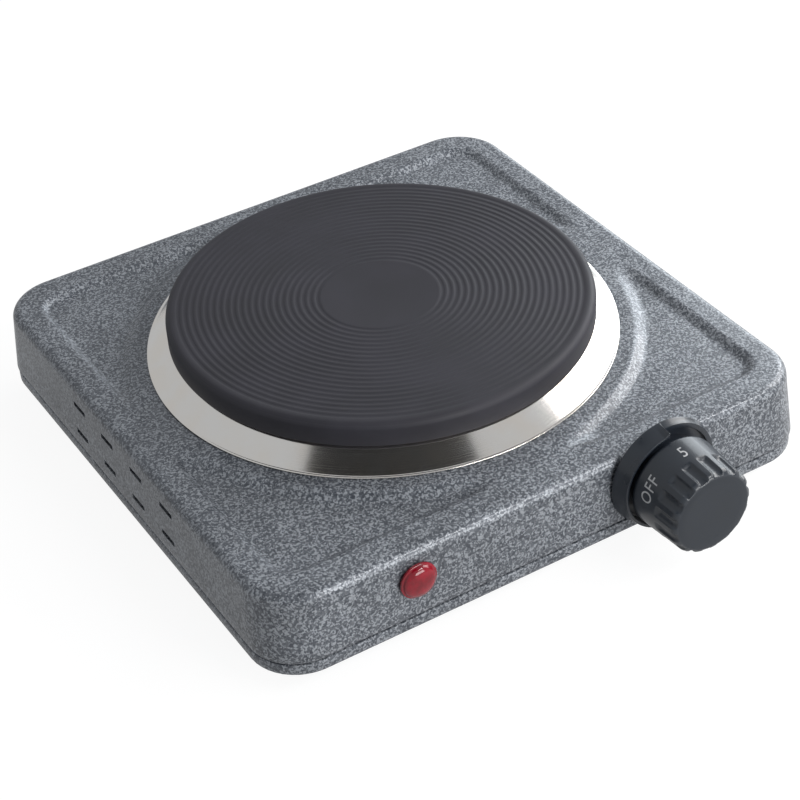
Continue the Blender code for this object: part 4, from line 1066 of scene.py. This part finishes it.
class BURNER_OT_feet(bpy.types.Operator):
    """Mould the four rubber feet and head the screws that hold them"""

    bl_idname = "burner.feet"
    bl_label = "Feet"

    def execute(self, context):
        for foot in FEET:
            low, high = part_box(foot)
            centre = Vector((middle(foot).x, middle(foot).y, 0))
            radius, top = (high.x - low.x) / 2, high.z
            well, hole, shoulder = 4.4 * MM, 2.2 * MM, 5.0 * MM
            neck = radius - 0.35 * MM
            profile = [(hole, top), (radius - 0.4 * MM, top), (radius, top - 0.4 * MM),
                       (radius, top - 3 * MM), (neck, top - 3.4 * MM), (neck, top - 4.2 * MM),
                       (radius, top - 4.6 * MM), (radius, 1.4 * MM), (radius - 0.4 * MM, 0.4 * MM),
                       (radius - 1.3 * MM, 0), (well + 0.3 * MM, 0), (well, 0.3 * MM), (well, shoulder),
                       (hole, shoulder)]
            piece = turned(f"{foot}_moulding", profile, 64, centre)
            finish_piece(piece, FIXED, "rubber", rubber(), foot)

            screw = foot.replace("foot_", "foot_screw_")
            low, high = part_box(screw)
            head, shank, crown = (high.x - low.x) / 2, 1.9 * MM, shoulder - GAP
            profile = [(0, low.z)] + bow((0, low.z + 1.4 * MM), (head, -1.4 * MM), 1, 5)
            profile += [(head, crown), (shank, crown), (shank, high.z - 0.6 * MM), (shank - 0.6 * MM, high.z),
                        (0, high.z)]
            piece = turned(f"{screw}_turned", profile, 48, centre)
            arms = (((2.3 * MM, 0.45 * MM), 0, 1.3 * MM), ((0.45 * MM, 2.3 * MM), -MM, 1.35 * MM))
            for (half_x, half_y), foot_z, rise in arms:
                near = (centre.x - half_x, centre.y - half_y, foot_z)
                cut(piece, [cutter_box(near, (centre.x + half_x, centre.y + half_y, low.z + rise))])
            tidy(piece)
            finish_piece(piece, FIXED, "zinc_steel", zinc(), screw)
        return {"FINISHED"}


class BURNER_OT_inner_parts(bpy.types.Operator):
    """Give the inner parts their finishes"""

    bl_idname = "burner.inner_parts"
    bl_label = "Inner parts"

    def execute(self, context):
        brass = plated("brass", (0.68, 0.47, 0.18), 0.24)
        wire = plated("oxidised_wire", (0.16, 0.13, 0.115), 0.55, 0.6)
        clay = fired_clay("steatite", (0.72, 0.68, 0.6), 0.5)
        powder = fired_clay("magnesia", (0.52, 0.5, 0.46), 0.85)
        nylon = moulded_plastic("natural_nylon", (0.68, 0.66, 0.6), 0.42)
        sleeves = {
            "live_lead": moulded_plastic("brown_sleeve", (0.13, 0.045, 0.02), 0.5),
            "neutral_lead": moulded_plastic("blue_sleeve", (0.02, 0.09, 0.38), 0.5),
            "lamp_lead_neutral": moulded_plastic("blue_sleeve", (0.02, 0.09, 0.38), 0.5),
            "earth_lead": moulded_plastic("green_sleeve", (0.08, 0.33, 0.05), 0.5),
            "switched_lead": moulded_plastic("black_sleeve", (0.02, 0.02, 0.02), 0.5),
            "lamp_lead_switched": moulded_plastic("black_sleeve", (0.02, 0.02, 0.02), 0.5),
        }
        finishes = {
            "thermostat_bush": brass, "thermostat_shaft": brass, "contact_arm": brass, "earth_lug": brass,
            "heating_coil": wire, "element_insulation": powder, "element_terminal": clay,
            "thermostat_stack": clay, "mains_terminal": nylon, "lamp_holder": nylon,
            "neon_bulb": bulb_glass(), **sleeves,
        }
        for name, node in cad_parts.items():
            if node.hide_render:
                continue
            material = finishes.get(name) or zinc()
            node.data.materials.clear()
            node.data.materials.append(material)
        return {"FINISHED"}


# Stage

def add_lamp(name, place, target, size, power, tint=(1, 1, 1)):
    lamp = bpy.data.lights.new(name, "AREA")
    lamp.shape = "RECTANGLE"
    lamp.size, lamp.size_y = size
    lamp.energy = power
    lamp.color = tint
    holder = bpy.data.objects.new(name, lamp)
    bpy.context.scene.collection.objects.link(holder)
    holder.location = place
    holder.rotation_euler = (Vector(target) - Vector(place)).to_track_quat("-Z", "Y").to_euler()
    return holder


def add_card(name, place, size, turn, tone):
    """A level card over the object that only reflections see."""
    object_mode()
    bpy.ops.mesh.primitive_plane_add(size=1, location=place, rotation=(0, 0, math.radians(turn)))
    card = bpy.context.object
    card.name = name
    card.scale = (*size, 1)
    apply_place(card)
    material, tree, shader, spot = new_material(name, roughness=1.0)
    felt = use_group(tree, "surface_grain", grain_group, {"Vector": spot, "Grain": 0.002, "Cloud": 0.1})
    base = blend_colours(tree, felt["Cloud"], (tone * 0.8,) * 3, (tone,) * 3)
    tree.links.new(base, shader.inputs["Base Color"])
    card.data.materials.append(material)
    card.visible_camera = False
    card.visible_diffuse = False
    card.visible_shadow = False
    return card


def pale_floor(tone):
    """A floor that the camera sees nearly white, with the object's shadow on it."""
    material, tree, shader, place = new_material("pale_floor", roughness=0.9)
    paper = use_group(tree, "surface_grain", grain_group, {"Vector": place, "Grain": 0.002, "Cloud": 0.5})
    base = blend_colours(tree, paper["Cloud"], tuple(value * 0.99 for value in tone), tuple(tone))
    tree.links.new(base, shader.inputs["Base Color"])
    light = add_node(tree, "ShaderNodeLightPath")
    glow = add_node(tree, "ShaderNodeEmission", {"Color": (1, 1, 1, 1), "Strength": 1.34})
    sharp = maths(tree, "MAXIMUM", light.outputs["Is Glossy Ray"], light.outputs["Is Transmission Ray"])
    seen = maths(tree, "MAXIMUM", maths(tree, "MULTIPLY", light.outputs["Is Camera Ray"], 0.68),
                 maths(tree, "MULTIPLY", sharp, 0.26))
    mix = add_node(tree, "ShaderNodeMixShader", {0: seen, 1: shader.outputs[0], 2: glow.outputs[0]})
    tree.links.new(mix.outputs[0], tree.nodes["Material Output"].inputs["Surface"])
    return material


class BURNER_OT_stage(bpy.types.Operator):
    """Set the camera, the soft lamps, the pale floor and the world"""

    bl_idname = "burner.stage"
    bl_label = "Stage"

    def execute(self, context):
        stage = settings()[4]
        scene = context.scene
        scene.view_settings.view_transform = "Standard"

        camera = bpy.data.cameras.new("camera")
        camera.lens = stage.lens
        camera.clip_end = 20
        eye = bpy.data.objects.new("camera", camera)
        scene.collection.objects.link(eye)
        tilt = Matrix.Rotation(math.pi / 2 - stage.elevation, 4, "X")
        turn = Matrix.Rotation(-stage.azimuth, 4, "Z") @ tilt @ Matrix.Rotation(stage.roll, 4, "Z")
        eye.matrix_world = Matrix.Translation(stage.aim) @ turn @ Matrix.Translation((0, 0, stage.distance))
        scene.camera = eye

        object_mode()
        bpy.ops.mesh.primitive_plane_add(size=6, location=(0, 0, 0))
        floor = bpy.context.object
        floor.name = "floor"
        floor.data.materials.append(pale_floor(stage.floor))

        world = bpy.data.worlds.new("studio")
        world.use_nodes = True
        scene.world = world
        tree = world.node_tree
        background = tree.nodes["Background"]
        background.inputs["Color"].default_value = (0.94, 0.965, 1.0, 1)
        light = add_node(tree, "ShaderNodeLightPath")
        mirrored = maths(tree, "MULTIPLY", light.outputs["Is Glossy Ray"], 0.34)
        lit = maths(tree, "ADD", mirrored, stage.world)
        strength = maths(tree, "MAXIMUM", light.outputs["Is Camera Ray"], lit)
        tree.links.new(strength, background.inputs["Strength"])

        centre = Vector((0, 0, 0.05))
        add_lamp("right lamp", (0.70, 0.0, 0.46), centre, (0.5, 0.45), stage.key, (1.0, 0.985, 0.97))
        add_lamp("rear lamp", (0.82, 0.44, 0.42), centre, (0.5, 0.5), stage.sheen, (0.88, 0.95, 1.0))
        add_lamp("side panel", (1.15, 0.80, 0.2), centre, (0.75, 0.36), stage.panel, (0.86, 0.94, 1.0))
        add_lamp("front lamp", (0.25, -1.1, 0.32), centre, (0.7, 0.4), stage.front)
        add_lamp("edge lamp", (0.42, -0.75, 0.85), centre, (0.7, 0.05), stage.edge)
        add_card("dark card", (-0.15, -0.24, 1.0), (0.82, 0.34), -29, 0.03)
        return {"FINISHED"}


# Add-on

PIECES = (BURNER_OT_housing, BURNER_OT_base_pan, BURNER_OT_plate, BURNER_OT_ring, BURNER_OT_knob,
          BURNER_OT_dial_print, BURNER_OT_bezel, BURNER_OT_lamp, BURNER_OT_inlet, BURNER_OT_feet,
          BURNER_OT_inner_parts, BURNER_OT_stage)
GROUPS = {"burner_housing": BurnerHousing, "burner_plate": BurnerPlate, "burner_knob": BurnerKnob,
          "burner_finish": BurnerFinish, "burner_stage": BurnerStage}


class BURNER_PT_panel(bpy.types.Panel):
    """Lists the burner's settings and the operators that build it"""

    bl_idname = "BURNER_PT_panel"
    bl_label = "Hot Plate Burner"
    bl_space_type = "VIEW_3D"
    bl_region_type = "UI"
    bl_category = "Burner"

    def draw(self, context):
        layout = self.layout
        for name, group in GROUPS.items():
            box = layout.box()
            box.label(text=group.__doc__)
            for key in group.__annotations__:
                box.prop(getattr(context.scene, name), key)
        for piece in PIECES:
            layout.operator(piece.bl_idname)


def register():
    for group in GROUPS.values():
        bpy.utils.register_class(group)
    for piece in PIECES:
        bpy.utils.register_class(piece)
    bpy.utils.register_class(BURNER_PT_panel)
    for name, group in GROUPS.items():
        setattr(bpy.types.Scene, name, PointerProperty(type=group))


def unregister():
    for name in GROUPS:
        delattr(bpy.types.Scene, name)
    bpy.utils.unregister_class(BURNER_PT_panel)
    for made in reversed([*GROUPS.values(), *PIECES]):
        bpy.utils.unregister_class(made)


def main():
    register()
    for piece in PIECES:
        group, name = piece.bl_idname.split(".")
        getattr(getattr(bpy.ops, group), name)()


if __name__ == "__main__":
    main()
